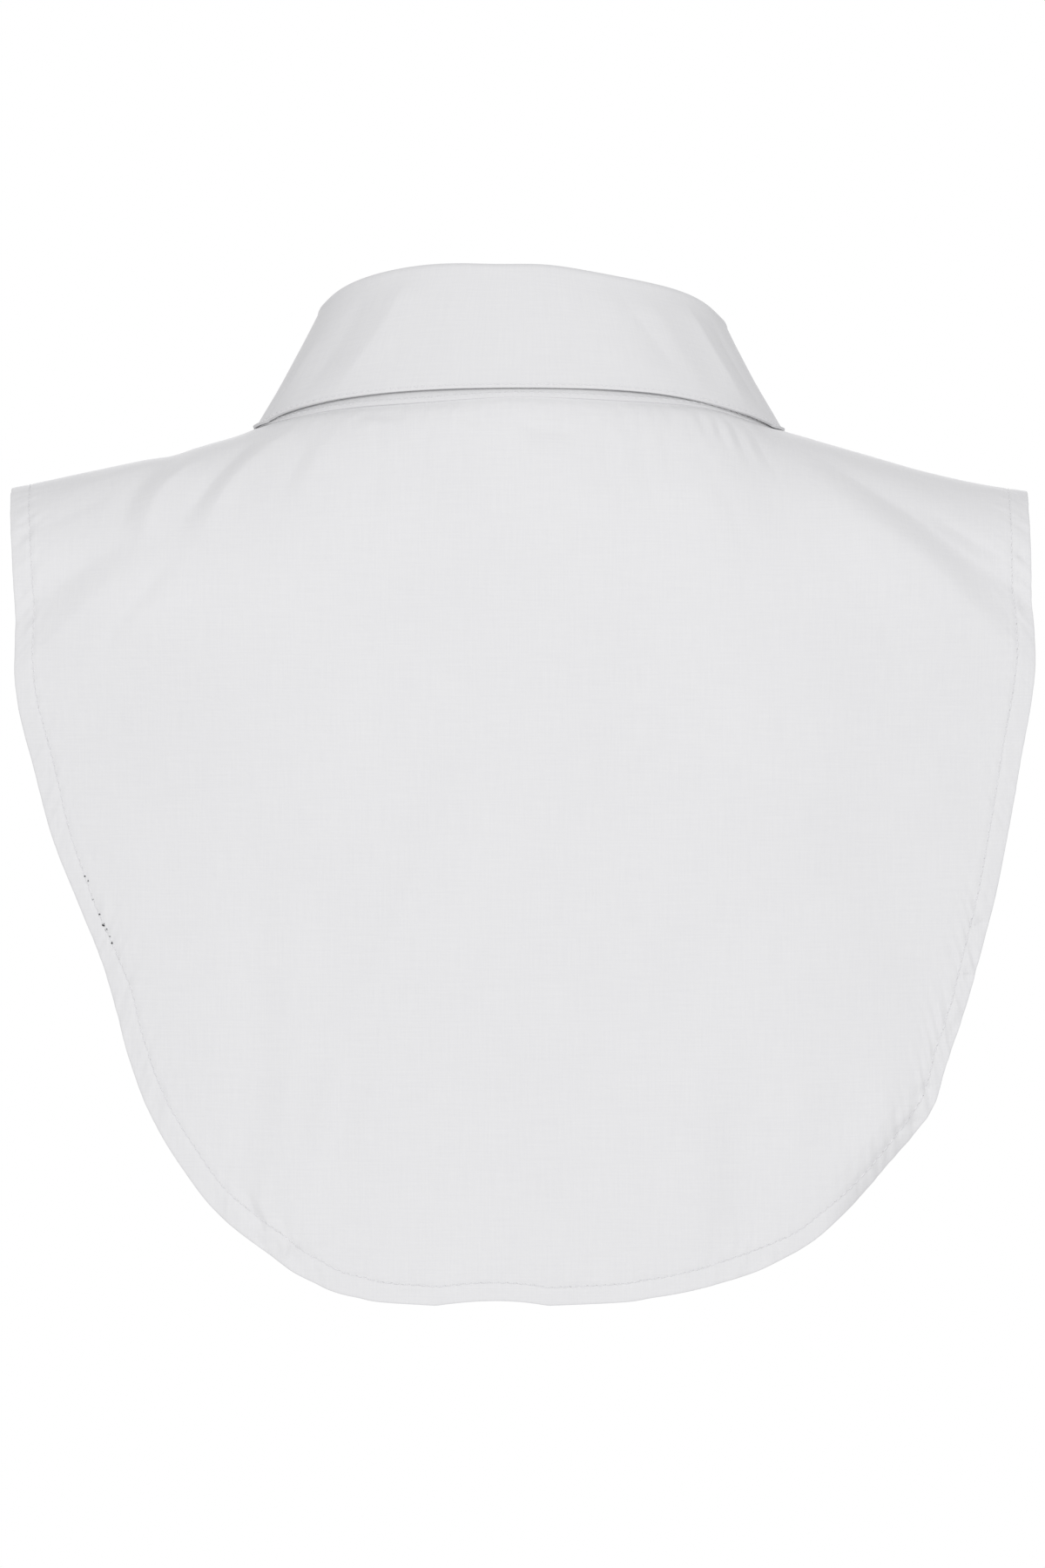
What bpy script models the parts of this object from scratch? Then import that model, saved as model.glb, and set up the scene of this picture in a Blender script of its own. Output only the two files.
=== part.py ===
"""Detachable shirt collar: a stand-and-fall collar on a short bib that hangs over the shoulders.

The garment keeps the hollow form that it has when it is worn and buttoned. Metres, +Z up, the
wearer faces -Y, so +X is the wearer's left. The origin is in the middle of the neck opening, level
with the shoulder ends of the neck seam. Lengths below are in millimetres and are scaled by MM.
"""

import bisect
import math

import bmesh
import bpy
from mathutils import Vector

MM = 0.001

# ---- driving sizes, millimetres -------------------------------------------------------------

CLOTH = 1.0  # one layer of shirting with its sizing
HEM_CLOTH = 1.8  # the same cloth turned under twice
HEM_WIDTH = 6.0
HEM_STEP_SHARE = 0.12  # of the hem's width, taken by the step up to it
STAND_CLOTH = 1.4  # two layers and the interlining
LEAF_CLOTH = 1.2
SHOULDER_GAP = 1.0  # between the outer faces of a shoulder seam, where the walls lean together

NECK_HALF_WIDTHS = (83.6, 80.7)  # neck seam, centre to the shoulder seam on the left and right
NECK_BACK = 56.0  # neck seam, centre to the nape
NECK_FRONT = 62.0  # neck seam, centre to the throat
ROLL_HALF_WIDTHS = (63.0, 63.0)  # centre line of the collar's roll
ROLL_BACK = 45.0
ROLL_FRONT = 55.0
ROLL_RADIUS = 3.2
ROLL_LEG = 1.5  # the leaf's seam allowance, standing up from the stand
STAND_DROP = 0.8  # the stand's top edge under that allowance
LEAF_EDGE_BACK = 58.8  # leaf edge, centre to the nape
LEAF_BOW = (1.2, -0.9)  # how far the fall of the leaf bows outwards, at the nape and the sides
LEAF_CLEARANCE = 2.2  # outer face of the leaf above the cloth that it rests on
LEAF_END = 174.0  # degrees round the neck from the nape
LEAF_LIFTED = (90.0, 110.0)  # degrees over which the edge comes clear of the chest
LEAF_NARROWED = (90.0, 130.0)  # and over which it takes up the width of its points
FRONT_START = 90.001  # degrees, just past the shoulder seam

OVERLAP = 12.0  # each front runs this far past the centre front
OVER_FRONT = 2.7  # the right front lies this far outside the left one
OVER_STAND = 1.9  # and so does the right end of the stand
OVERLAP_RAMP = 22.0
STAND_END = 180.0 + math.degrees(math.asin(OVERLAP / min(NECK_HALF_WIDTHS)))
STAND_CORNER = 11.0  # radius of the stand's front corners
STAND_FOOT_GAP = 0.45  # the stand's foot above the neck seam

BUTTON_RADIUS = 5.2
BUTTON_THICK = 2.4
BUTTON_RIM = 0.6
BUTTON_HOLE = 0.8
BUTTON_HOLE_REACH = 1.5
BUTTON_GAP = 1.2  # the thread shank
BUTTON_SIDES = 20
BUTTON_HOLE_SIDES = 6
STAND_BUTTON_SHARE = 0.5  # height up the stand
FRONT_BUTTONS = 3
FIRST_BUTTON_DROP = 46.0  # below the neck seam, along the cloth
BUTTON_PITCH = 62.0

BACK_COLUMNS, BACK_ROWS = 52, 12
FRONT_COLUMNS, FRONT_ROWS = 22, 12
STAND_COLUMNS, STAND_ROWS = 60, 3
LEAF_COLUMNS, LEAF_FALL_ROWS, LEAF_ROLL_ROWS = 54, 5, 4

PLUMB_SHARE = 0.8  # a section's cloth down to the plumb, of its depth and drop together
SIDE_CHANGE = 40.0  # width of the change from the left side's values to the right's
NORMAL_STEP = 0.5  # step along a surface when its normal is taken
FOLD_FADE = 0.25  # share of a fold over which it rises and dies away
FOLD_REACH = 1.12  # where it ends, as a share of its line

# ---- short tables, one row for each section -------------------------------------------------

# The general figure that the cloth hangs on, in sections across the shoulder. ridge is the height
# of the shoulder line on the wearer's left and right. depth, drop and power shape each section: a
# quarter of a superellipse from the shoulder line down to where the cloth hangs plumb.
FIGURE = (
    # out   ridge_l  ridge_r  back_depth back_drop back_power chest_depth chest_drop chest_power
    (0.0,    21.9,    21.9,    74.0,      100.0,    3.0,       92.0,       205.0,     1.55),
    (40.0,   14.8,    15.0,    73.0,       96.0,    2.9,       91.5,       195.0,     1.60),
    (60.0,    7.8,     7.5,    72.0,       90.0,    2.8,       89.5,       177.0,     1.68),
    (80.0,   -0.7,    -2.9,    70.0,       82.0,    2.6,       85.0,       147.0,     1.85),
    (92.0,   -5.6,    -6.2,    68.0,       76.0,    2.5,       81.5,       129.0,     1.95),
    (105.0,  -9.2,    -9.5,    65.0,       70.0,    2.4,       77.0,       112.0,     2.05),
    (130.0, -14.6,   -16.6,    58.0,       60.0,    2.3,       67.0,        86.0,     2.15),
    (147.0, -18.3,   -20.6,    53.0,       56.0,    2.25,      60.0,        76.0,     2.18),
    (165.0, -22.1,   -23.4,    48.0,       52.0,    2.2,       54.0,        66.0,     2.20),
)
FIGURE_COLUMNS = (
    "out", "ridge_left", "ridge_right", "back_depth", "back_drop", "back_power",
    "chest_depth", "chest_drop", "chest_power",
)  # fmt: skip

# The back's outline seen from behind: its reach to the wearer's left and right at each height.
BACK_OUTLINE = (
    # height   left    right
    (-30.0,   163.0,  161.1),
    (-48.0,   161.3,  160.9),
    (-70.0,   160.1,  161.2),
    (-90.0,   158.5,  159.7),
    (-111.5,  154.1,  156.7),
    (-133.5,  148.3,  152.8),
    (-155.5,  139.4,  148.2),
    (-172.0,  132.6,  143.9),
    (-188.0,  127.7,  139.4),
    (-204.0,  123.4,  133.8),
    (-221.0,  116.7,  128.0),
    (-237.0,  107.0,  115.2),
    (-253.0,   93.8,   99.7),
    (-264.0,   79.3,   84.3),
    (-272.0,   66.9,   65.0),
    (-277.4,   51.5,   40.5),
    (-279.0,   41.5,   27.5),
    (-279.8,   27.0,    8.0),
)
SHOULDER_TIPS = (164.2, 162.2)  # wearer's left, right

# Half of the front's outline, the same on both sides.
FRONT_OUTLINE = (
    # height   out
    (-30.0,   162.0),
    (-60.0,   159.0),
    (-95.0,   152.0),
    (-130.0,  140.0),
    (-165.0,  125.0),
    (-195.0,  109.0),
    (-220.0,   91.0),
    (-240.0,   71.0),
    (-254.0,   48.0),
    (-261.5,   22.0),
    (-263.0,    0.0),
)

# Height of the top of the collar's roll round the neck, on the wearer's left and right.
ROLL_TOP = (
    # degrees  left    right
    (0.0,      47.2,   47.2),
    (30.0,     47.2,   43.4),
    (60.0,     42.3,   38.0),
    (75.0,     38.3,   33.8),
    (90.0,     34.9,   30.9),
    (120.0,    17.0,   13.0),
    (150.0,    -5.0,   -7.0),
    (180.0,   -23.0,  -23.0),
)

# The leaf's outer edge from the nape to the shoulder: its height on each side.
LEAF_EDGE = (
    # degrees  left    right
    (0.0,       7.2,    7.2),
    (30.0,      6.1,    5.9),
    (60.0,      2.2,    0.6),
    (90.0,     -1.8,   -2.0),
)
LEAF_EDGE_HALF_WIDTHS = (86.6, 83.4)  # wearer's left, right

# The same edge from the shoulder to the point, seen from the front, where it lies on the chest.
LEAF_POINT = (
    # degrees  out    height
    (90.0,     85.0,    2.6),
    (110.0,    86.0,   -8.0),
    (130.0,    82.0,  -27.0),
    (150.0,    70.0,  -53.0),
    (165.0,    53.0,  -72.0),
    (174.0,    38.0,  -84.0),
)

# The largest folds of the back, seen from behind: x and z of both ends, half width, and depth,
# which is negative for a trough.
BACK_FOLDS = (
    # from_x  from_z  to_x    to_z   half_width  depth
    (-88.0,  -14.0, -154.0,  -62.0,     8.0,      1.4),
    (-86.0,  -20.0, -156.0,  -76.0,     9.0,     -2.2),
    (80.0,   -10.0,  150.0,  -64.0,    13.0,     -1.8),
    (100.0,  -20.0,  158.0,  -48.0,     9.0,      1.0),
    (56.0,  -160.0,   62.0, -268.0,    14.0,     -1.8),
    (-70.0, -195.0,  -66.0, -266.0,    13.0,     -1.8),
)

# ---- interpolation --------------------------------------------------------------------------


def slope_at(keys, values, i):
    """The slope of a smooth curve at row i, by the parabola through it and its two neighbours."""
    last = len(keys) - 1
    if i == 0 and keys[0] == 0:
        return 0.0
    if i in (0, last):
        i, k = (0, 1) if i == 0 else (last - 1, last)
        return (values[k] - values[i]) / (keys[k] - keys[i])
    before, after = keys[i] - keys[i - 1], keys[i + 1] - keys[i]
    fall, rise = (values[i] - values[i - 1]) / before, (values[i + 1] - values[i]) / after
    return (fall * after + rise * before) / (before + after)


def read_table(rows, key, column):
    """The value of a column at a key, on a smooth curve through the rows.

    Column 0 holds the keys. A table whose keys start at 0 runs level there, as a mirrored one does.
    """
    keys, values = [row[0] for row in rows], [row[column] for row in rows]
    if keys[-1] < keys[0]:
        keys, key = [-k for k in keys], -key
    i = min(len(keys) - 2, max(0, bisect.bisect_right(keys, key) - 1))
    span = keys[i + 1] - keys[i]
    t = min(1.0, max(0.0, (key - keys[i]) / span))
    start, end = slope_at(keys, values, i) * span, slope_at(keys, values, i + 1) * span
    rise = values[i + 1] - values[i]
    return values[i] + t * (start + t * (3 * rise - 2 * start - end + t * (start + end - 2 * rise)))


def smooth_step(share):
    share = min(1.0, max(0.0, share))
    return share * share * (3 - 2 * share)


def side_of(left, right, x):
    """left on the wearer's left, right on their right, and a smooth change across the middle."""
    return right + (left - right) * smooth_step(0.5 + x / SIDE_CHANGE)


# ---- the general figure ---------------------------------------------------------------------


def section(x, part):
    """(ridge, depth, drop, power) of the figure's section at x, for the back or the chest."""
    out = abs(x)
    left = read_table(FIGURE, out, FIGURE_COLUMNS.index("ridge_left"))
    right = read_table(FIGURE, out, FIGURE_COLUMNS.index("ridge_right"))
    shape = [
        read_table(FIGURE, out, FIGURE_COLUMNS.index(f"{part}_{name}"))
        for name in ("depth", "drop", "power")
    ]
    return side_of(left, right, x), *shape


def plumb_length(depth, drop):
    """About how much cloth a section takes from the shoulder line to where it hangs plumb."""
    return PLUMB_SHARE * (depth + drop)


def on_figure(x, down, part):
    """The point of the back or the chest at x, that far down the cloth from the shoulder line."""
    ridge, depth, drop, power = section(x, part)
    turned = plumb_length(depth, drop)
    sign = 1 if part == "back" else -1
    if down >= turned:
        return Vector((x, sign * depth, ridge - drop - (down - turned)))
    angle = max(0.0, down / turned) * math.pi / 2
    s, c = math.sin(angle) / depth, math.cos(angle) / drop
    reach = (s**power + c**power) ** (-1 / power)
    return Vector((x, sign * reach * math.sin(angle), ridge - drop + reach * math.cos(angle)))


def down_at_height(x, z, part):
    """How far down the cloth a height is, at x."""
    ridge, depth, drop, power = section(x, part)
    turned, fallen = plumb_length(depth, drop), ridge - z
    if fallen >= drop:
        return turned + fallen - drop
    height = drop - max(0.0, fallen)
    out = depth * max(0.0, 1 - (height / drop) ** power) ** (1 / power)
    return turned * math.atan2(out, height) / (math.pi / 2)


def down_at_depth(x, y, part):
    """How far down the cloth a distance behind or before the shoulder line is, at x."""
    ridge, depth, drop, power = section(x, part)
    share = min(1.0, abs(y) / depth)
    height = drop * (1 - share**power) ** (1 / power)
    return plumb_length(depth, drop) * math.atan2(share * depth, height) / (math.pi / 2)


def clear_of_figure(point, part, clearance):
    """The point, moved out along the normal if it is less than a clearance from the figure."""
    down = down_at_depth(point.x, point.y, part)
    normal = figure_normal(point.x, down, part)
    stands_off = (point - on_figure(point.x, down, part)).dot(normal)
    return point + normal * max(0.0, clearance - stands_off)


def figure_normal(x, down, part):
    """The outward normal of the back or the chest."""
    step = NORMAL_STEP
    down = max(down, step)
    across = on_figure(x + step, down, part) - on_figure(x - step, down, part)
    along = on_figure(x, down + step, part) - on_figure(x, down - step, part)
    normal = across.cross(along) if part == "back" else along.cross(across)
    return normal.normalized()


# ---- rings round the neck -------------------------------------------------------------------


def ring(degrees, half_widths, back, front):
    """A point in plan, that many degrees round from the nape, towards the wearer's left.

    half_widths are those of the left and the right side.
    """
    angle = math.radians(degrees)
    half_width = half_widths[0 if math.sin(angle) > 0 else 1]
    depth = back if math.cos(angle) >= 0 else front
    return Vector((half_width * math.sin(angle), depth * math.cos(angle), 0.0))


def roll_normal(degrees):
    """The horizontal outward normal of the roll."""
    ahead = ring(degrees + NORMAL_STEP, ROLL_HALF_WIDTHS, ROLL_BACK, ROLL_FRONT)
    behind = ring(degrees - NORMAL_STEP, ROLL_HALF_WIDTHS, ROLL_BACK, ROLL_FRONT)
    return Vector((0, 0, 1)).cross(ahead - behind).normalized()


def part_at(degrees):
    return "back" if abs(degrees) <= 90.0 else "chest"


def neck_seam(degrees):
    """(x, down) of the neck seam on the back or the chest."""
    point = ring(degrees, NECK_HALF_WIDTHS, NECK_BACK, NECK_FRONT)
    return point.x, down_at_depth(point.x, point.y, part_at(degrees))


def over_share(degrees, x):
    """1 on the overlap and 0 beside it, for the right side, which lies on top of the left."""
    return smooth_step((x + OVERLAP + OVERLAP_RAMP) / OVERLAP_RAMP) if degrees < -90.0 else 0.0


def roll_centre(degrees):
    """The middle of the collar's roll, where the leaf turns over."""
    point = ring(degrees, ROLL_HALF_WIDTHS, ROLL_BACK, ROLL_FRONT)
    round_neck = min(180.0, abs(degrees))
    left = read_table(ROLL_TOP, round_neck, 1)
    right = read_table(ROLL_TOP, round_neck, 2)
    point.z = side_of(left, right, point.x) - ROLL_RADIUS
    return point + roll_normal(degrees) * OVER_STAND * over_share(degrees, point.x)


def leaf_edge(degrees):
    """The outer edge of the leaf."""
    round_neck = abs(degrees)
    if round_neck <= 90.0:
        point = ring(degrees, LEAF_EDGE_HALF_WIDTHS, LEAF_EDGE_BACK, LEAF_EDGE_BACK)
        left = read_table(LEAF_EDGE, round_neck, 1)
        right = read_table(LEAF_EDGE, round_neck, 2)
        point.z = side_of(left, right, point.x)
        return point
    side = 1 if degrees > 0 else -1
    out = read_table(LEAF_POINT, round_neck, 1)
    narrowed = LEAF_EDGE_HALF_WIDTHS[0 if side > 0 else 1] - LEAF_POINT[0][1]
    first, last = LEAF_NARROWED
    out += narrowed * smooth_step((last - round_neck) / (last - first))
    x, z = side * out, read_table(LEAF_POINT, round_neck, 2)
    down = down_at_height(x, z, "chest")
    first, last = LEAF_LIFTED
    lift = LEAF_CLEARANCE * smooth_step((round_neck - first) / (last - first))
    return on_figure(x, down, "chest") + figure_normal(x, down, "chest") * lift


# ---- scene and mesh helpers -----------------------------------------------------------------


def clear_scene():
    for obj in list(bpy.data.objects):
        bpy.data.objects.remove(obj, do_unlink=True)


def make_material(name, color, roughness):
    material = bpy.data.materials.new(name)
    material.use_nodes = True
    shader = material.node_tree.nodes["Principled BSDF"]
    shader.inputs["Base Color"].default_value = (*color, 1.0)
    shader.inputs["Roughness"].default_value = roughness
    shader.inputs["Metallic"].default_value = 0.0
    return material


def add_object(name, mesh, material, collection):
    obj = bpy.data.objects.new(name, mesh)
    mesh.materials.append(material)
    collection.objects.link(obj)
    return obj


def cloth_sheet(name, columns, rows, place, outward, thickness, material, collection):
    """A sheet of columns by rows, placed by place(u, v), with its wall on the inner side.

    outward(u, v) is a rough direction out of the cloth, which sets which face is the outer one.
    """
    mesh = bpy.data.meshes.new(name)
    bm = bmesh.new()
    bmesh.ops.create_grid(bm, x_segments=columns, y_segments=rows, size=0.5)
    middle = min(bm.faces, key=lambda face: face.calc_center_median().length)
    spot = middle.calc_center_median()
    hint = outward(spot.x + 0.5, spot.y + 0.5)
    for vert in bm.verts:
        vert.co = place(vert.co.x + 0.5, vert.co.y + 0.5) * MM
    bm.normal_update()
    if middle.normal.dot(hint) < 0:
        bmesh.ops.reverse_faces(bm, faces=bm.faces)
    bm.to_mesh(mesh)
    bm.free()
    mesh.shade_smooth()
    obj = add_object(name, mesh, material, collection)
    wall = obj.modifiers.new("wall", "SOLIDIFY")
    wall.thickness = thickness * MM
    wall.offset = -1.0
    wall.use_even_offset = True
    wall.use_quality_normals = True
    return obj


# ---- fronts and back ------------------------------------------------------------------------


def spread_evenly(points, count):
    """count + 1 points, evenly spaced along a line of points."""
    lengths = [0.0]
    for a, b in zip(points, points[1:]):
        lengths.append(lengths[-1] + (b - a).length)
    placed, i = [], 0
    for k in range(count + 1):
        want = lengths[-1] * k / count
        while i < len(points) - 2 and lengths[i + 1] < want:
            i += 1
        share = (want - lengths[i]) / max(lengths[i + 1] - lengths[i], 1e-9)
        placed.append(points[i].lerp(points[i + 1], min(1.0, share)))
    return placed


def outline_side(rows, column, side, part, steps=8):
    """(x, down) points of one side of an outline, from the shoulder tip down to its last row."""
    reach = SHOULDER_TIPS[0] if side > 0 else SHOULDER_TIPS[1]
    points = [Vector((side * reach, SHOULDER_GAP / 2))]
    for upper, lower in zip(rows, rows[1:]):
        for k in range(steps):
            z = upper[0] + (lower[0] - upper[0]) * k / steps
            x = side * read_table(rows, z, column)
            points.append(Vector((x, down_at_height(x, z, part))))
    x, z = side * rows[-1][column], rows[-1][0]
    points.append(Vector((x, down_at_height(x, z, part))))
    return points


def fold_height(point):
    """How far the back stands out at a point, by its largest folds."""
    height, place = 0.0, Vector((point.x, point.z))
    for from_x, from_z, to_x, to_z, half_width, depth in BACK_FOLDS:
        start = Vector((from_x, from_z))
        line = Vector((to_x, to_z)) - start
        share = (place - start).dot(line) / line.length_squared
        across = (place - start - line * share).length / half_width
        along = smooth_step(share / FOLD_FADE) * smooth_step((FOLD_REACH - share) / FOLD_FADE)
        height += depth * along * math.exp(-across * across)
    return height


def panel_point(neck, edge, share, part, height):
    """A point of a panel, on the straight line over the flat cloth from its neck to its edge.

    height(point) is how far the cloth stands off the figure there.
    """
    flat = neck.lerp(edge, share)
    point = on_figure(flat.x, flat.y, part)
    return point + figure_normal(flat.x, flat.y, part) * height(point)


def hem_share(neck, edge, v, rows):
    """Where row v lies between neck and edge. The last three rows make the hem and its step."""
    hem_row, step_row = rows - 2, rows - 1
    hem = 1 - HEM_WIDTH / (edge - neck).length
    row = round(v * rows)
    if row <= hem_row:
        return hem * row / hem_row
    if row == step_row:
        return hem + (1 - hem) * HEM_STEP_SHARE
    return 1.0


def thicken_hem(obj, columns, rows):
    """Gives the last two rows of a sheet the full thickness, and the rest one layer."""
    group = obj.vertex_groups.new(name="hem")
    across = columns + 1
    thick = range(across * (rows - 1), across * (rows + 1))
    group.add(list(thick), 1.0, "REPLACE")
    wall = obj.modifiers["wall"]
    wall.vertex_group = "hem"
    wall.thickness_vertex_group = CLOTH / HEM_CLOTH


def make_back(material, collection):
    """The back: neck seam, both shoulder seams, and the hemmed outline from tip to tip."""
    left = outline_side(BACK_OUTLINE, 1, 1, "back")
    right = outline_side(BACK_OUTLINE, 2, -1, "back")
    edge = spread_evenly(left + right[::-1], BACK_COLUMNS)
    neck = []
    for k in range(BACK_COLUMNS + 1):
        x, down = neck_seam(90.0 - 180.0 * k / BACK_COLUMNS)
        neck.append(Vector((x, max(down, SHOULDER_GAP / 2))))

    def place(u, v):
        k = round(u * BACK_COLUMNS)
        share = hem_share(neck[k], edge[k], v, BACK_ROWS)
        return panel_point(neck[k], edge[k], share, "back", fold_height)

    back = cloth_sheet(
        "back_panel", BACK_COLUMNS, BACK_ROWS, place,
        lambda u, v: Vector((0, 1, 0.3)), HEM_CLOTH, material, collection,
    )  # fmt: skip
    thicken_hem(back, BACK_COLUMNS, BACK_ROWS)
    return back


def make_front(name, side, material, collection):
    """One front: from the shoulder seam round to its edge, past the centre front."""
    outline = outline_side(FRONT_OUTLINE, 1, side, "chest")
    cut_x = -side * OVERLAP
    z = FRONT_OUTLINE[-1][0]
    outline.append(Vector((cut_x, down_at_height(cut_x, z, "chest"))))
    edge = spread_evenly(outline, FRONT_COLUMNS)
    neck = []
    for k in range(FRONT_COLUMNS + 1):
        degrees = FRONT_START + (STAND_END - FRONT_START) * k / FRONT_COLUMNS
        x, down = neck_seam(side * degrees)
        neck.append(Vector((x, max(down, SHOULDER_GAP / 2))))

    def lift(point):
        return OVER_FRONT * over_share(side * 180.0, point.x)

    def place(u, v):
        k = round(u * FRONT_COLUMNS)
        share = hem_share(neck[k], edge[k], v, FRONT_ROWS)
        return panel_point(neck[k], edge[k], share, "chest", lift)

    front = cloth_sheet(
        name, FRONT_COLUMNS, FRONT_ROWS, place,
        lambda u, v: Vector((0, -1, 0.3)), HEM_CLOTH, material, collection,
    )  # fmt: skip
    thicken_hem(front, FRONT_COLUMNS, FRONT_ROWS)
    return front


# ---- collar ---------------------------------------------------------------------------------


def stand_foot(degrees):
    """The foot of the stand's outer face, on the neck seam."""
    x, down = neck_seam(degrees)
    part = part_at(degrees)
    lift = OVER_FRONT * over_share(degrees, x)
    return on_figure(x, down, part) + figure_normal(x, down, part) * lift


def stand_head(degrees):
    """The top of the stand's outer face, under the leaf's seam allowance."""
    inward = ROLL_RADIUS - (LEAF_CLOTH + STAND_CLOTH) / 2
    head = roll_centre(degrees) - roll_normal(degrees) * inward
    head.z -= ROLL_LEG + STAND_DROP
    return head


def stand_point(degrees, share):
    """A point of the stand's outer face. Its front corners are rounded."""
    foot, head = stand_foot(degrees), stand_head(degrees)
    height = (head - foot).length
    to_end = math.radians(STAND_END - abs(degrees)) * NECK_FRONT
    full = 1.0
    if to_end < STAND_CORNER:
        short = STAND_CORNER - max(0.0, to_end)
        full = 1 - (STAND_CORNER - math.sqrt(STAND_CORNER**2 - short**2)) / height
    first = STAND_FOOT_GAP / height
    return foot.lerp(head, first + (full - first) * share)


def make_stand(material, collection):
    """The band that stands up round the neck, its right end buttoned over its left."""

    def place(u, v):
        return stand_point(STAND_END * (2 * u - 1), v)

    return cloth_sheet(
        "collar_stand", STAND_COLUMNS, STAND_ROWS, place,
        lambda u, v: roll_normal(STAND_END * (2 * u - 1)), STAND_CLOTH, material, collection,
    )  # fmt: skip


def leaf_point(degrees, row):
    """A point of the leaf's outer face: up its seam allowance, over the roll and down the fall."""
    centre, normal = roll_centre(degrees), roll_normal(degrees)
    up = Vector((0, 0, 1))
    if row == 0:
        return centre - normal * ROLL_RADIUS - up * ROLL_LEG
    if row <= LEAF_ROLL_ROWS + 1:
        angle = math.pi * (1 - (row - 1) / LEAF_ROLL_ROWS)
        return centre + (normal * math.cos(angle) + up * math.sin(angle)) * ROLL_RADIUS
    start, edge = centre + normal * ROLL_RADIUS, leaf_edge(degrees)
    share = (row - LEAF_ROLL_ROWS - 1) / LEAF_FALL_ROWS
    at_side = math.sin(math.radians(degrees)) ** 2
    bow = LEAF_BOW[0] + (LEAF_BOW[1] - LEAF_BOW[0]) * at_side
    point = start.lerp(edge, share) + normal * bow * 4 * share * (1 - share)
    clearance = LEAF_CLEARANCE + OVER_FRONT * over_share(degrees, point.x)
    return clear_of_figure(point, part_at(degrees), clearance)


def make_leaf(material, collection):
    """The fall of the collar, one piece from point to point."""
    rows = 1 + LEAF_ROLL_ROWS + LEAF_FALL_ROWS

    def place(u, v):
        return leaf_point(LEAF_END * (2 * u - 1), round(v * rows))

    return cloth_sheet(
        "collar_leaf", LEAF_COLUMNS, rows, place,
        lambda u, v: roll_normal(LEAF_END * (2 * u - 1)) + Vector((0, 0, 1)),
        LEAF_CLOTH, material, collection,
    )  # fmt: skip


# ---- buttons --------------------------------------------------------------------------------


def button_mesh():
    """A flat four-hole button, its back on the XY plane."""
    bm = bmesh.new()
    bmesh.ops.create_cone(
        bm, cap_ends=True, segments=BUTTON_SIDES, radius1=BUTTON_RADIUS * MM,
        radius2=BUTTON_RADIUS * MM, depth=BUTTON_THICK * MM,
    )  # fmt: skip
    bmesh.ops.translate(bm, verts=bm.verts, vec=(0, 0, BUTTON_THICK * MM / 2))
    rims = [e for e in bm.edges if abs(e.verts[0].co.z - e.verts[1].co.z) < 1e-7]
    bmesh.ops.bevel(bm, geom=rims, offset=BUTTON_RIM * MM, segments=1, affect="EDGES")
    mesh = bpy.data.meshes.new("button")
    bm.to_mesh(mesh)
    bm.free()
    return mesh


def button_drill(collection):
    """Four pins in one mesh, which cut a button's holes."""
    bm = bmesh.new()
    for k in range(4):
        angle = math.radians(45 + 90 * k)
        made = bmesh.ops.create_cone(
            bm, cap_ends=True, segments=BUTTON_HOLE_SIDES, radius1=BUTTON_HOLE * MM,
            radius2=BUTTON_HOLE * MM, depth=3 * BUTTON_THICK * MM,
        )  # fmt: skip
        away = Vector((math.cos(angle), math.sin(angle), 0)) * BUTTON_HOLE_REACH * MM
        bmesh.ops.translate(bm, verts=made["verts"], vec=away)
    mesh = bpy.data.meshes.new("button_drill")
    bm.to_mesh(mesh)
    bm.free()
    drill = bpy.data.objects.new("button_drill", mesh)
    drill.hide_render = True
    drill.display_type = "WIRE"
    collection.objects.link(drill)
    return drill


def drilled_button_mesh(cutters):
    """The button's mesh with its holes cut, shared by every button."""
    blank = bpy.data.objects.new("button_blank", button_mesh())
    cutters.objects.link(blank)
    cut = blank.modifiers.new("holes", "BOOLEAN")
    cut.operation = "DIFFERENCE"
    cut.object = button_drill(cutters)
    bpy.context.view_layer.update()
    graph = bpy.context.evaluated_depsgraph_get()
    mesh = bpy.data.meshes.new_from_object(blank.evaluated_get(graph))
    mesh.name = "four_hole_button"
    bpy.data.objects.remove(blank)
    return mesh


def button_seats():
    """(point, outward normal) of each button, on the outer face of the right side."""
    foot, head = stand_foot(-180.0), stand_head(-180.0)
    upright = (head - foot).normalized()
    normal = Vector((1, 0, 0)).cross(upright)
    seats = [(foot.lerp(head, STAND_BUTTON_SHARE), normal.normalized())]
    _, seam = neck_seam(180.0)
    for k in range(FRONT_BUTTONS):
        down = seam + FIRST_BUTTON_DROP + BUTTON_PITCH * k
        normal = figure_normal(0.0, down, "chest")
        seats.append((on_figure(0.0, down, "chest") + normal * OVER_FRONT, normal))
    return seats


def make_buttons(material, collection, cutters):
    mesh = drilled_button_mesh(cutters)
    mesh.materials.clear()
    mesh.materials.append(material)
    for k, (seat, normal) in enumerate(button_seats(), start=1):
        name = "stand_button" if k == 1 else f"front_button_{k - 1}"
        button = bpy.data.objects.new(name, mesh)
        button.rotation_mode = "QUATERNION"
        button.rotation_quaternion = normal.to_track_quat("Z", "X")
        button.location = (seat + normal * BUTTON_GAP) * MM
        collection.objects.link(button)


# ---- the whole collar -----------------------------------------------------------------------


def make_collection(name):
    collection = bpy.data.collections.new(name)
    bpy.context.scene.collection.children.link(collection)
    return collection


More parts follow.
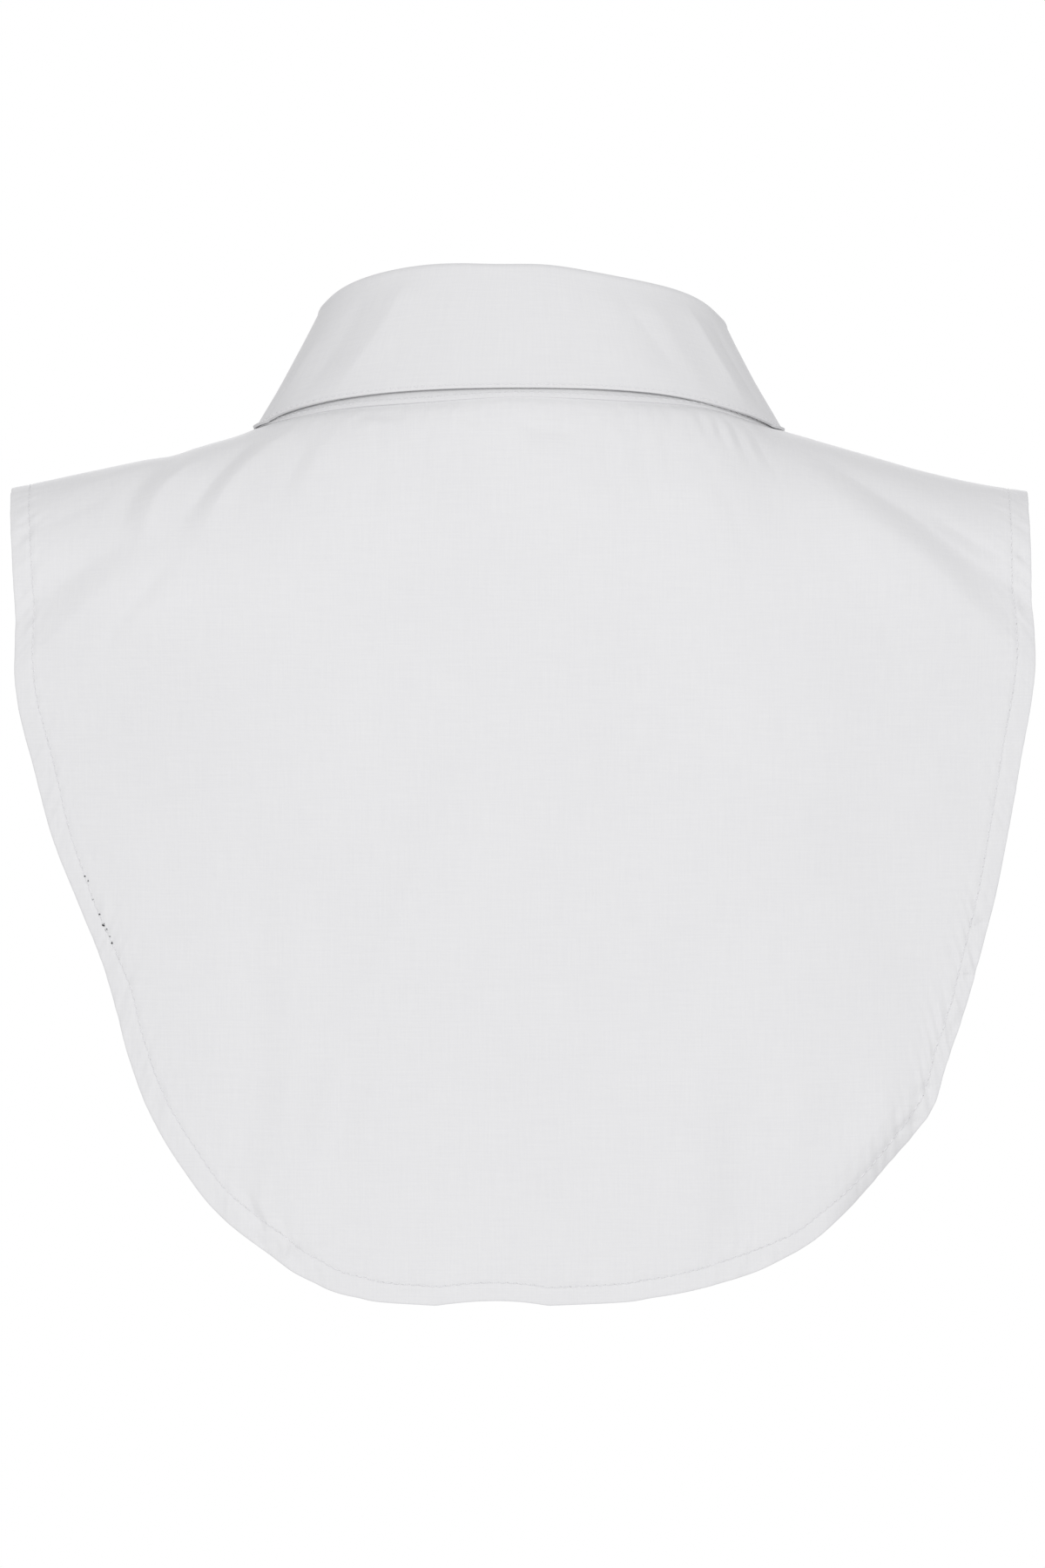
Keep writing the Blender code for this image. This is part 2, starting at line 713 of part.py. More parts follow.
def main():
    clear_scene()
    garment = make_collection("detachable_shirt_collar")
    cutters = make_collection("cutters")
    cotton = make_material("white_cotton", (0.80, 0.80, 0.81), 0.85)
    pearl = make_material("white_button", (0.82, 0.81, 0.79), 0.30)
    make_back(cotton, garment)
    make_front("left_front", 1, cotton, garment)
    make_front("right_front", -1, cotton, garment)
    make_stand(cotton, garment)
    make_leaf(cotton, garment)
    make_buttons(pearl, garment, cutters)


main()
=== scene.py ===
"""The looks of a detachable shirt collar: poplin, seams, turned hems, stitches, buttons, studio.

Lengths are in millimetres and are scaled by MM when a mesh is made. +Z is up, the wearer faces -Y
and +X is the wearer's left. Left and right are always the wearer's, and pairs are (left, right).
"""

import math

import bpy
import numpy as np
from mathutils import Matrix, Vector, noise


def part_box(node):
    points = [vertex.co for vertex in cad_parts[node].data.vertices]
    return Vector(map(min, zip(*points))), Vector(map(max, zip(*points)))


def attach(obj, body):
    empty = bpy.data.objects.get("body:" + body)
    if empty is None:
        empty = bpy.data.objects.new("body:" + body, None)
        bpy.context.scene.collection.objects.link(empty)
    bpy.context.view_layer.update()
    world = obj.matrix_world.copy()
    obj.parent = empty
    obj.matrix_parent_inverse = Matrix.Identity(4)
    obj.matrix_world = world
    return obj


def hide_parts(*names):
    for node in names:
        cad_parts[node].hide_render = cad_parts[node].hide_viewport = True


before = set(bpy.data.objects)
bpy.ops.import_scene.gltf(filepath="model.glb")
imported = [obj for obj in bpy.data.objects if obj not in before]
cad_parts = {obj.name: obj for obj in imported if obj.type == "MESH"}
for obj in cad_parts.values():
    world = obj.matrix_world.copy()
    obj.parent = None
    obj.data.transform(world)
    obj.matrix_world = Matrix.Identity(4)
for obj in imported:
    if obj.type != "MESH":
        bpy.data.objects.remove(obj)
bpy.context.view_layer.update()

MM = 0.001
ROOT = "root"
SIDES = (("left", 1), ("right", -1))

# ---- driving sizes --------------------------------------------------------------------------

POPLIN = 0.3  # one layer of cloth
LEVEL_WEFT = -120.0  # height of a weft that hangs level
NECK_GATHER = 0.6  # depth of the fine gathers under the stand
NAPE_HOLLOW = 1.8  # how far the back dips in below the nape
NECK_TURN = 1.0  # how far a panel's cloth runs on under the stand
HEM_THICK = 0.95  # the hem's three layers, pressed
HEM_STITCH = 6.1  # hem stitching, in from the edge, where it runs true
HEM_FOLD = 1.2  # inner fold of the hem, in from its stitching
HEM_PULL = 8.5  # how far in from the edge the hem is crumpled
HEM_BAND = 9.5  # the stretch next to the edge that has the finest rows
COLLAR_THICK = 0.9  # leaf and stand: two layers and interlining
COLLAR_RIM = 0.3  # softening of their edges
COLLAR_STITCH = 1.15  # edge stitching of leaf and stand
STRIP_THICK = 0.5  # plackets and seam allowances

NECK_HALF_WIDTHS = (85.2, 82.3)
NECK_BACK = 56.0
NECK_FRONT = 62.0
ROLL_HALF_WIDTH = 63.0
ROLL_BACK = 45.0
ROLL_FRONT = 55.0
ROLL_RADIUS = 3.0
ROLL_LEG = 1.8  # how far the leaf runs down inside the roll
LEAF_EDGE_BACK = 56.9
LEAF_EDGE_HALF_WIDTHS = (86.1, 84.0)
LEAF_BOW = (1.2, -0.5)  # at the nape and at the sides
LEAF_CLEARANCE = 1.35
LEAF_DEPTH = 45.0  # nominal, for the places of its folds
LEAF_END = 174.0  # degrees from the nape
LEAF_WIDER_END = 130.0  # degrees, where its table of points alone gives its width
LEAF_LIFT_TURN = 20.0  # degrees from the shoulder, over which it lifts off the chest
LEAF_STITCH_END = 1.9  # degrees from each front edge to its stitching
STAND_HEIGHT = 40.0  # nominal, for its weave
STAND_FOOT_GAP = 0.1
STAND_HEAD_GAP = 0.2
STAND_CORNER = 11.0
STAND_END = 188.5
STAND_STITCH_END = 1.2
SEAM_BLEND = 22.0  # how far before a shoulder seam a front keeps the back's relief
SEAM_INSIDE = 0.55  # depth of a seam allowance under the cloth's face

OVERLAP = 12.0  # of each front past the middle
OVERLAP_RAMP = 22.0  # the width over which the right side rises onto the left
OVER_FRONT = 2.3
OVER_STAND = 1.9
PLACKET_WIDTH = 25.0
PLACKET_STITCH = 3.0

STITCH_PITCH = 2.8
STITCH_LENGTH = 2.25
STITCH_SKEW = 0.1  # how far each end of a stitch lies to the side of its line
THREAD_RADIUS = 0.2
BAR_RADIUS = 0.16  # the finer thread of buttonholes and buttons
PIT_RADIUS = 0.16
PIT_AHEAD = 0.13  # from a stitch's end to the middle of its pit
PIT_SINK = 0.06  # how far below the stitches' middles the needle pits lie
PIT_DEPTH = 0.05
HOLE_STANDS = 0.26  # how far an open needle hole's rim stands on the hem
HOLE_DEPTH = 0.06  # of a needle hole's middle under its rim
SLIT_HALF_WIDTH = 0.12
SLIT_LENGTH = 13.0
BUTTON_BACK = 1.2  # from the middle of a button's CAD solid to its back

CAMERA_DISTANCE = 2500.0
VIEW_WIDTH = 336.0  # seen at the shoulder line
FRAME_SHAPE = 1800 / 1200  # height over width
VIEW_HEIGHT_CENTRE = -117.0
FLOOR_HEIGHT = -1100.0

NECK_RING = (NECK_HALF_WIDTHS, NECK_BACK, NECK_FRONT)
ROLL_RING = ((ROLL_HALF_WIDTH, ROLL_HALF_WIDTH), ROLL_BACK, ROLL_FRONT)
QUARTER_TURN = 90.0
PAST_SHOULDER = 90.001  # just onto the chest's side of the shoulder line
NAPE_TO_THROAT = 180.0
SIDE_BLEND = 40.0  # the width across the middle where the left's sizes turn into the right's
PLUMB_SHARE = 0.8  # cloth used up before it hangs plumb, as a share of depth and drop
NORMAL_STEP = 0.5  # for differences along the figure, in mm, and round the rings, in degrees
FOLD_FADE = 0.3  # the share of a fold's length over which it fades at each end
FOLD_FAINT = 0.12  # what is left of it at the very end

# ---- the general figure and the cut, one row for each section ---------------------------------

FIGURE = (
    # out   ridge_l  ridge_r  back_depth back_drop back_power chest_depth chest_drop chest_power
    (0.0,    21.9,    21.9,    74.0,      100.0,    3.0,       92.0,       205.0,     1.55),
    (40.0,   14.8,    15.0,    73.0,       96.0,    2.9,       91.5,       195.0,     1.60),
    (60.0,    7.8,     7.5,    72.0,       90.0,    2.8,       89.5,       177.0,     1.68),
    (80.0,   -0.7,    -2.9,    70.0,       82.0,    2.6,       85.0,       147.0,     1.85),
    (92.0,   -5.6,    -6.2,    68.0,       76.0,    2.5,       81.5,       129.0,     1.95),
    (105.0,  -9.2,    -9.5,    65.0,       70.0,    2.4,       77.0,       112.0,     2.05),
    (130.0, -14.6,   -16.6,    58.0,       60.0,    2.3,       67.0,        86.0,     2.15),
    (147.0, -18.3,   -20.6,    53.0,       56.0,    2.25,      60.0,        76.0,     2.18),
    (165.0, -22.1,   -23.4,    48.0,       52.0,    2.2,       54.0,        66.0,     2.20),
)
SHAPE_COLUMNS = {"back": (3, 4, 5), "chest": (6, 7, 8)}  # depth, drop, power

BACK_OUTLINE = (
    # height   left    right
    (-30.0,   163.0,  161.1),
    (-48.0,   161.3,  160.9),
    (-70.0,   160.1,  161.2),
    (-90.0,   158.5,  159.7),
    (-111.5,  154.1,  156.7),
    (-133.5,  148.3,  152.8),
    (-155.5,  139.4,  148.2),
    (-172.0,  132.6,  143.9),
    (-188.0,  127.7,  139.4),
    (-204.0,  123.4,  133.8),
    (-221.0,  116.7,  128.0),
    (-237.0,  107.0,  115.2),
    (-253.0,   93.8,   99.7),
    (-264.0,   79.3,   84.3),
    (-272.0,   66.9,   65.0),
    (-277.4,   51.5,   40.5),
    (-279.0,   41.5,   27.5),
    (-279.8,   27.0,    8.0),
)
SHOULDER_TIPS = (164.2, 162.2)
FRONT_OUTLINE = (
    # height   out
    (-30.0,   162.0),
    (-60.0,   159.0),
    (-95.0,   152.0),
    (-130.0,  140.0),
    (-165.0,  125.0),
    (-195.0,  109.0),
    (-220.0,   91.0),
    (-240.0,   71.0),
    (-254.0,   48.0),
    (-261.5,   22.0),
    (-263.0,    0.0),
)
ROLL_TOP = (
    # degrees  left    right
    (0.0,      47.2,   47.2),
    (30.0,     47.2,   43.4),
    (60.0,     42.3,   38.0),
    (75.0,     38.3,   33.8),
    (90.0,     34.9,   30.9),
    (120.0,    17.0,   13.0),
    (150.0,    -5.0,   -7.0),
    (180.0,   -23.0,  -23.0),
)
LEAF_EDGE = (
    # degrees  left    right
    (0.0,       7.6,    7.6),
    (30.0,      6.4,    6.2),
    (60.0,      1.7,    0.2),
    (75.0,     -1.7,   -2.7),
    (90.0,     -3.4,   -4.0),
)
LEAF_POINT = (
    # degrees  out    height
    (90.0,     85.0,   -3.4),
    (95.0,     85.0,   -3.7),
    (100.0,    84.9,   -4.5),
    (110.0,    84.4,   -8.0),
    (130.0,    82.0,  -27.0),
    (150.0,    70.0,  -53.0),
    (165.0,    53.0,  -72.0),
    (174.0,    38.0,  -84.0),
)

# ---- folds and puckers, one row for each -------------------------------------------------------

# Folds of the back seen from behind: the line that each follows as x and z, its half width, how
# softly it turns over (2 is soft, nearer 1 is crisp), and its depth, negative for a valley.
BACK_FOLDS = (
    # half_width power depth  line
    (3.2, 1.7, -1.25, ((74, -1), (87, -9), (96.5, -19), (103.5, -29), (108, -40))),
    (3.8, 1.5, 1.20, ((67, -2), (80, -11), (89, -19), (95, -27.5), (101, -40))),
    (3.4, 1.8, -1.20, ((104, -8), (118.5, -18), (125, -28.5), (125.5, -40))),
    (3.8, 1.4, 1.50, ((99, -12), (111.5, -22), (116.5, -30), (118.5, -38), (120, -44))),
    (5.0, 1.7, -1.45, ((121, -40), (135, -46.5), (148, -55), (168, -70), (190, -84))),
    (7.5, 1.6, 2.00, ((115, -45), (130, -55), (142, -66), (166, -88), (188, -106))),
    (12.0, 2.0, 2.60, ((98, -46), (122, -66), (146, -86), (168, -104), (190, -122))),
    (3.2, 1.5, -0.75, ((109, -45), (118.5, -57.5), (125.5, -66), (133, -79))),
    (2.0, 1.5, -0.28, ((102, -6), (126, -14), (148, -22))),
    (2.4, 1.6, 0.30, ((112, -12), (130, -19), (152, -28))),
    (2.2, 1.5, -0.30, ((128, -24), (142, -31), (156, -37))),
    (2.8, 1.5, -0.50, ((66, -7), (70, -14), (76, -26))),
    (2.8, 1.6, 0.40, ((61, -6), (66, -15), (71, -27))),
    (4.8, 1.5, -1.60, (
        (-84, -7), (-93, -13), (-107, -21), (-123, -31.5), (-142, -46), (-166, -62), (-188, -78),
    )),
    (7.5, 1.7, 2.20, ((-86, -12), (-104, -31), (-127, -48), (-140, -61), (-166, -84), (-188, -104))),
    (12.0, 2.0, 2.60, ((-94, -30), (-120, -53), (-144, -76), (-168, -98), (-190, -118))),
    (2.4, 1.4, -0.75, ((-127, -30.5), (-136, -35.5), (-146, -42), (-156, -47))),
    (2.4, 1.5, 0.50, ((-124, -32), (-134, -39), (-144, -46), (-153, -51.5))),
    (3.0, 1.6, -0.35, ((-95, -8), (-120, -17), (-140, -25))),
    (3.5, 1.8, 0.45, ((-100, -36), (-118, -56), (-136, -78))),
    (3.5, 1.8, -0.40, ((-96, -44), (-112, -66), (-124, -88))),
    # gathers under the stand
    (1.2, 1.6, -0.42, ((53.5, -3), (50.5, -0.8), (44, -0.6), (37, -1))),
    (1.5, 1.6, 0.28, ((55, -5), (47, -3.3), (38, -3.6))),
    (1.3, 1.5, -0.50, ((3, -1), (-2, -4.6), (-9, -5.4), (-15, -5.8), (-20, -4.8))),
    (1.9, 1.8, 0.34, ((1, -6.5), (-8, -8.2), (-18, -8))),
    (1.2, 1.5, -0.28, ((-56, 0), (-57.5, -7))),
    (1.2, 1.6, 0.26, ((-58.5, 0), (-60.5, -8))),
    (1.2, 1.5, -0.34, ((-61, -1), (-64, -10))),
    (1.3, 1.5, 0.30, ((-63.5, -1.5), (-67, -12))),
    (1.3, 1.5, -0.36, ((-66.5, -2.5), (-70.5, -14))),
    (1.4, 1.5, 0.30, ((-69.5, -4), (-74.5, -17))),
    (1.5, 1.5, -0.32, ((-73, -6), (-79, -19))),
    (2.2, 1.8, -0.34, ((46, -4), (45, -26))),
    (1.8, 1.8, 0.26, ((42, -4), (41, -20))),
    (1.8, 1.8, -0.30, ((30, -3), (31, -16))),
    (2.0, 1.8, -0.30, ((4, -8), (4.5, -26))),
    (1.6, 1.8, -0.24, ((-26, -2), (-27, -22))),
    (2.0, 1.8, 0.24, ((-31, -2), (-32, -20))),
    (2.4, 1.8, -0.34, ((-37, -3), (-39, -24))),
    (2.2, 1.8, -0.30, ((-45, -3), (-47, -20))),
    (2.0, 1.6, -0.24, ((-44, -10), (-34, -15), (-24, -20))),
    (1.6, 1.6, -0.26, ((20, -1.5), (12, -3))),
    # tucks caught in the hem
    (1.1, 1.6, -0.45, ((160, -34.7), (154.5, -34.4))),
    (1.1, 1.5, -0.60, ((160, -38), (155, -36.7))),
    (1.1, 1.6, -0.45, ((160, -56.6), (154.5, -58.7))),
    (1.1, 1.6, -0.45, ((159, -66), (154, -65.8))),
    (1.3, 1.6, -0.65, ((-160.5, -45), (-156, -44.5))),
    (1.4, 1.6, -0.70, ((-161, -53), (-155, -52))),
    (1.3, 1.6, -0.65, ((-161, -61), (-156, -60.5))),
    (1.5, 1.5, -0.75, ((-130, -210.5), (-122, -215.5))),
    (1.5, 1.5, -0.75, ((-127, -221.5), (-115, -227))),
    (1.3, 1.5, -0.65, ((-139, -188.5), (-134, -196))),
    (1.3, 1.5, -0.60, ((-143, -175.3), (-138, -177.5))),
    (1.3, 1.5, -0.60, ((-146, -158.8), (-141, -162.5))),
    (1.2, 1.5, -0.75, ((-74.5, -261), (-73.3, -269.5))),
    (1.4, 1.6, 0.50, ((-76, -259), (-79.5, -266))),
    (1.1, 1.4, -0.95, ((84, -256.5), (80.5, -263))),
    (1.2, 1.5, -0.85, ((73.2, -267.5), (72.6, -264), (70.2, -260.5))),
    (1.3, 1.6, 0.45, ((75.5, -267), (75, -263), (73, -259))),
    # drapes of the lower back
    (9.0, 2.0, -1.30, ((58, -165), (59, -215), (56, -262))),
    (8.0, 2.0, -1.50, ((14, -105), (38, -165), (60, -225), (76, -264))),
    (8.0, 2.0, 0.80, ((28, -108), (52, -168), (72, -222), (88, -256))),
    (8.0, 2.0, -0.60, ((84, -117), (83, -190), (86, -254))),
    (7.0, 2.0, 0.65, ((71, -150), (72, -210), (70, -264))),
    (8.0, 2.0, -1.80, ((-69, -205), (-68, -236), (-71, -270))),
    (6.0, 2.0, 0.55, ((-55, -225), (-55, -272))),
    (7.0, 2.0, 0.55, ((-86, -190), (-86, -222), (-91, -254))),
    (4.5, 1.7, 1.20, ((-118, -205), (-113, -221), (-103, -234), (-90, -245))),
    (12.0, 2.0, 0.70, ((-118, -108), (-134, -138), (-146, -166))),
    (11.0, 2.0, -0.80, ((-104, -130), (-121, -166), (-132, -198))),
    (10.0, 2.0, 0.60, ((126, -120), (121, -168), (110, -205))),
    (6.5, 2.0, -0.55, ((20, -228), (21, -256), (22, -278))),
    (7.0, 2.0, 0.40, ((-16, -238), (-14, -278))),
    (2.4, 1.5, -0.75, ((90, -238), (84, -251), (77, -262))),
    (2.2, 1.5, -0.65, ((80, -246), (74, -258), (68, -270))),
    (2.6, 1.6, 0.55, ((86, -240), (79, -254), (72, -267))),
)
# Folds of a front seen from in front, out being away from the wearer's middle.
FRONT_FOLDS = (
    # half_width power depth  line, as out and z
    (5.0, 1.6, -1.00, ((92, -12), (112, -34), (132, -58), (148, -78))),
    (5.0, 1.5, 0.95, ((88, -16), (106, -42), (124, -68), (138, -90))),
    (3.5, 1.5, -0.60, ((104, -10), (126, -26), (154, -42))),
    (4.5, 1.6, 0.60, ((100, -14), (124, -34), (150, -54))),
    (9.0, 2.0, 0.70, ((84, -32), (106, -74), (130, -112))),
    (9.0, 2.0, -0.80, ((76, -80), (82, -140), (96, -190))),
    (8.0, 2.0, 0.70, ((54, -96), (62, -170), (60, -240))),
    (7.5, 2.0, -0.80, ((40, -120), (44, -190), (43, -252))),
    (9.0, 2.0, 0.65, ((104, -110), (106, -150), (112, -190))),
    (5.0, 2.0, -0.45, ((22, -150), (23, -258))),
    (2.4, 1.6, -0.35, ((18, -66), (21, -80), (26, -96))),
    (2.6, 1.6, 0.32, ((27, -66), (32, -80), (38, -92))),
    (2.4, 1.5, -0.50, ((94, -194), (88, -208), (84, -220))),
    (2.4, 1.5, -0.45, ((66, -222), (63, -234), (59, -246))),
)
# Folds of the leaf, by degrees round the neck and the share of the way from roll to edge.
LEAF_FOLDS = (
    # half_width power depth  line
    (7.0, 1.3, 1.40, ((32, -0.2), (33.5, 0.0), (35, 0.3), (38, 0.55), (43, 0.85), (46, 1.05))),
    (5.0, 1.6, -0.60, ((47, 0.0), (49, 0.4), (55, 0.8), (58, 1.0))),
    (4.5, 1.6, 0.50, ((60, 0.3), (66, 0.6), (72, 1.05))),
    (4.0, 1.6, -0.45, ((70, 0.5), (80, 1.1))),
    (4.0, 1.2, -0.55, ((-25, -0.2), (-27.5, 0.1), (-32, 0.4), (-37, 0.7), (-39, 0.9))),
    (4.5, 1.6, 0.45, ((-35, -0.1), (-38, 0.3), (-43, 0.8), (-45, 1.0))),
    (6.0, 1.15, 1.45, ((-50.5, -0.2), (-51.5, 0.0), (-53, 0.3), (-56, 0.6), (-60, 1.0))),
    (5.0, 1.5, -0.70, ((-62, 0.0), (-66, 0.5), (-72, 1.0))),
    (12.0, 2.0, 1.00, ((-27, -0.2), (-29, 0.4), (-32, 1.1))),
    (7.0, 2.0, -0.35, ((-12, 0.3), (-14, 1.1))),
    (6.0, 2.0, 0.30, ((14, 0.4), (16, 1.1))),
    (7.0, 1.8, 0.80, ((100, 0.0), (118, 0.8))),
    (7.0, 1.8, 0.80, ((-102, 0.0), (-120, 0.8))),
    (7.0, 1.8, -0.80, ((128, 0.1), (142, 0.9))),
    (7.0, 1.8, -0.80, ((-126, 0.1), (-144, 0.9))),
)
# Ripples of the hem, by the share of the way along it from the left shoulder tip to the right.
BACK_RIPPLES = (
    # from_share to_share  pitch  depth  slant
    (0.005,      0.20,      5.0,  0.17,   0.15),
    (0.21,       0.33,      6.0,  0.18,  -0.2),
    (0.345,      0.43,      7.0,  0.30,   0.6),
    (0.43,       0.54,      6.5,  0.20,   0.4),
    (0.55,       0.63,      7.0,  0.25,  -0.5),
    (0.64,       0.80,      6.0,  0.26,  -0.4),
    (0.81,       0.995,     5.0,  0.17,  -0.15),
)
FRONT_RIPPLES = (
    # from_share to_share  pitch  depth  slant
    (0.01,       0.30,      5.5,  0.17,   0.2),
    (0.31,       0.66,      6.5,  0.20,   0.5),
    (0.67,       0.96,      6.5,  0.16,   0.3),
)
# The back's hem stitching, which was not sewn quite true: share of the way along it and inset.
BACK_STITCHING = (
    (0.00, 6.0), (0.17, 6.1), (0.20, 4.9), (0.22, 4.3), (0.24, 4.6), (0.265, 6.0), (0.33, 6.1),
    (0.40, 6.0), (0.50, 5.7), (0.57, 5.3), (0.60, 5.0), (0.633, 4.6), (0.665, 3.6), (0.69, 4.0),
    (0.733, 4.2), (0.766, 4.9), (0.80, 5.6), (0.85, 6.1), (1.00, 6.1),
)
HEM_ROLL = (0.672, 0.034, 3.2, 6.0)  # middle and reach along the hem, depth, width: rolled under
# Needle holes left open beside the back's left hem stitching.
NEEDLE_HOLES = (
    # height   radius  aside
    (-146.0,   0.30,   0.0),
    (-148.2,   0.24,   0.5),
    (-153.2,   0.30,   0.0),
    (-158.1,   0.34,   0.1),
    (-161.1,   0.52,  -0.1),
    (-162.8,   0.42,   0.0),
    (-165.2,   0.22,   0.2),
    (-166.9,   0.34,   0.0),
)
BUTTON_NODES = ("stand_button", "front_button_1", "front_button_2", "front_button_3")

# ---- curves through tables ---------------------------------------------------------------------


def read_table(rows, key, column):
    """A column's values at an array of keys, on smooth curves through the rows.

    Column 0 holds the keys. A table whose keys start at 0 runs level there, as a mirrored one does.
    """
    table, key = np.array(rows, float), np.asarray(key, float)
    keys, values = table[:, 0], table[:, column]
    if keys[-1] < keys[0]:
        keys, key = -keys, -key
    steps, rises = np.diff(keys), np.diff(values)
    secants = rises / steps
    slopes = np.concatenate([secants[:1], secants])
    slopes[1:-1] = (secants[:-1] * steps[1:] + secants[1:] * steps[:-1]) / (steps[:-1] + steps[1:])
    if keys[0] == 0:
        slopes[0] = 0.0
    i = np.clip(np.searchsorted(keys, key, side="right") - 1, 0, len(keys) - 2)
    t = np.clip((key - keys[i]) / steps[i], 0.0, 1.0)
    start, end, rise = slopes[i] * steps[i], slopes[i + 1] * steps[i], rises[i]
    return values[i] + t * (start + t * (3 * rise - 2 * start - end + t * (start + end - 2 * rise)))


def read_sides(rows, key, x):
    """The same at x, from the left's values in column 1 and the right's in column 2."""
    left, right = read_table(rows, key, 1), read_table(rows, key, 2)
    return right + (left - right) * smooth_step(0.5 + x / SIDE_BLEND)


def of_side(pair, side):
    return pair[0] if side > 0 else pair[1]


def smooth_step(share):
    share = np.clip(share, 0.0, 1.0)
    return share * share * (3 - 2 * share)


def bell(distance, half_width, power=2):
    return np.exp(-((distance / half_width) ** power))


def unit(vectors):
    return vectors / np.linalg.norm(vectors, axis=-1, keepdims=True)


def stack(*values):
    return np.stack(np.broadcast_arrays(*values), axis=-1).astype(float)


def along_line(points, shares):
    """Points at shares of the length of a line of points."""
    lengths = np.concatenate([[0], np.cumsum(np.linalg.norm(np.diff(points, axis=0), axis=-1))])
    want = np.asarray(shares) * lengths[-1]
    return stack(*(np.interp(want, lengths, values) for values in points.T))


# ---- the general figure ------------------------------------------------------------------------


def section(x, part):
    """The height of the shoulder line at x, and the depth, drop and power of the section there."""
    shape = (read_table(FIGURE, np.abs(x), column) for column in SHAPE_COLUMNS[part])
    return read_sides(FIGURE, np.abs(x), x), *shape


def down_at(out, height, depth, drop):
    """The way down the cloth to a place that far out from a section's middle and above it."""
    turn = np.arctan2(out, np.maximum(height, 1e-9)) / (math.pi / 2)
    return PLUMB_SHARE * (depth + drop) * turn


def on_figure(x, down, part):
    """Points of the back or the chest at x, that far down the cloth from the shoulder line."""
    ridge, depth, drop, power = section(x, part)
    turned = PLUMB_SHARE * (depth + drop)
    angle = np.clip(down / turned, 0.0, 1.0) * math.pi / 2
    s, c = np.sin(angle) / depth, np.cos(angle) / drop
    reach = (s**power + c**power) ** (-1 / power)
    below = np.maximum(down - turned, 0.0)
    sign = 1 if part == "back" else -1
    return stack(x, sign * reach * np.sin(angle), ridge - drop + reach * np.cos(angle) - below)


def figure_normal(x, down, part):
    step = NORMAL_STEP
    down = np.maximum(down, step)
    across = on_figure(x + step, down, part) - on_figure(x - step, down, part)
    along = on_figure(x, down + step, part) - on_figure(x, down - step, part)
    return unit(np.cross(across, along) if part == "back" else np.cross(along, across))


def down_at_height(x, z, part):
    ridge, depth, drop, power = section(x, part)
    fallen = ridge - z
    height = drop - np.clip(fallen, 0.0, drop)
    out = depth * np.maximum(0.0, 1 - (height / drop) ** power) ** (1 / power)
    plumb = PLUMB_SHARE * (depth + drop) + fallen - drop
    return np.where(fallen >= drop, plumb, down_at(out, height, depth, drop))


def down_at_depth(x, y, part):
    _, depth, drop, power = section(x, part)
    share = np.minimum(1.0, np.abs(y) / depth)
    height = drop * np.maximum(0.0, 1 - share**power) ** (1 / power)
    return down_at(share * depth, height, depth, drop)


def cloth_length(x, down, part, samples=14):
    """The length of cloth from the shoulder line down to a place, along its section."""
    length = 0.0
    for k in range(samples):
        low, high = (on_figure(x, down * share, part) for share in ((k + 1) / samples, k / samples))
        length += np.linalg.norm(low - high, axis=-1)
    return length


def clear_of_figure(points, part, clearance):
    """The points, moved out along the normal where they are nearer than a clearance."""
    x, y = points[..., 0], points[..., 1]
    down = down_at_depth(x, y, part)
    normal = figure_normal(x, down, part)
    stands_off = np.sum((points - on_figure(x, down, part)) * normal, axis=-1)
    return points + normal * np.maximum(0.0, clearance - stands_off)[..., None]


# ---- rings round the neck, by degrees from the nape, the left being positive -----------------------


def ring(degrees, half_widths, back, front):
    angle = np.radians(degrees)
    half_width = np.where(np.sin(angle) > 0, *half_widths)
    depth = np.where(np.cos(angle) >= 0, back, front)
    return stack(half_width * np.sin(angle), depth * np.cos(angle), 0.0)


def ring_normal(degrees, sizes):
    ahead, behind = (ring(degrees + step, *sizes) for step in (NORMAL_STEP, -NORMAL_STEP))
    return -unit(np.cross(ahead - behind, (0, 0, 1)))


def by_part(degrees, values):
    """values(part), the back's within a quarter turn of the nape and the chest's beyond."""
    shown = [values(part) for part in ("back", "chest")]
    back = np.abs(degrees) <= QUARTER_TURN
    return np.where(back[..., None] if shown[0].ndim > back.ndim else back, *shown)


def over_share(degrees, x):
    """How far the right side has risen onto the left, from 0 to 1. The left stays at 0."""
    share = smooth_step((x + OVERLAP + OVERLAP_RAMP) / OVERLAP_RAMP)
    return np.where(degrees < -QUARTER_TURN, share, 0.0)


def neck_seam(degrees):
    """(x, down) of the neck seam."""
    x, y, _ = np.moveaxis(ring(degrees, *NECK_RING), -1, 0)
    return x, by_part(degrees, lambda part: down_at_depth(x, y, part))


def roll_centre(degrees):
    point = ring(degrees, *ROLL_RING)
    round_neck = np.minimum(NAPE_TO_THROAT, np.abs(degrees))
    point[..., 2] = read_sides(ROLL_TOP, round_neck, point[..., 0]) - ROLL_RADIUS
    over = OVER_STAND * over_share(degrees, point[..., 0])
    return point + ring_normal(degrees, ROLL_RING) * over[..., None]


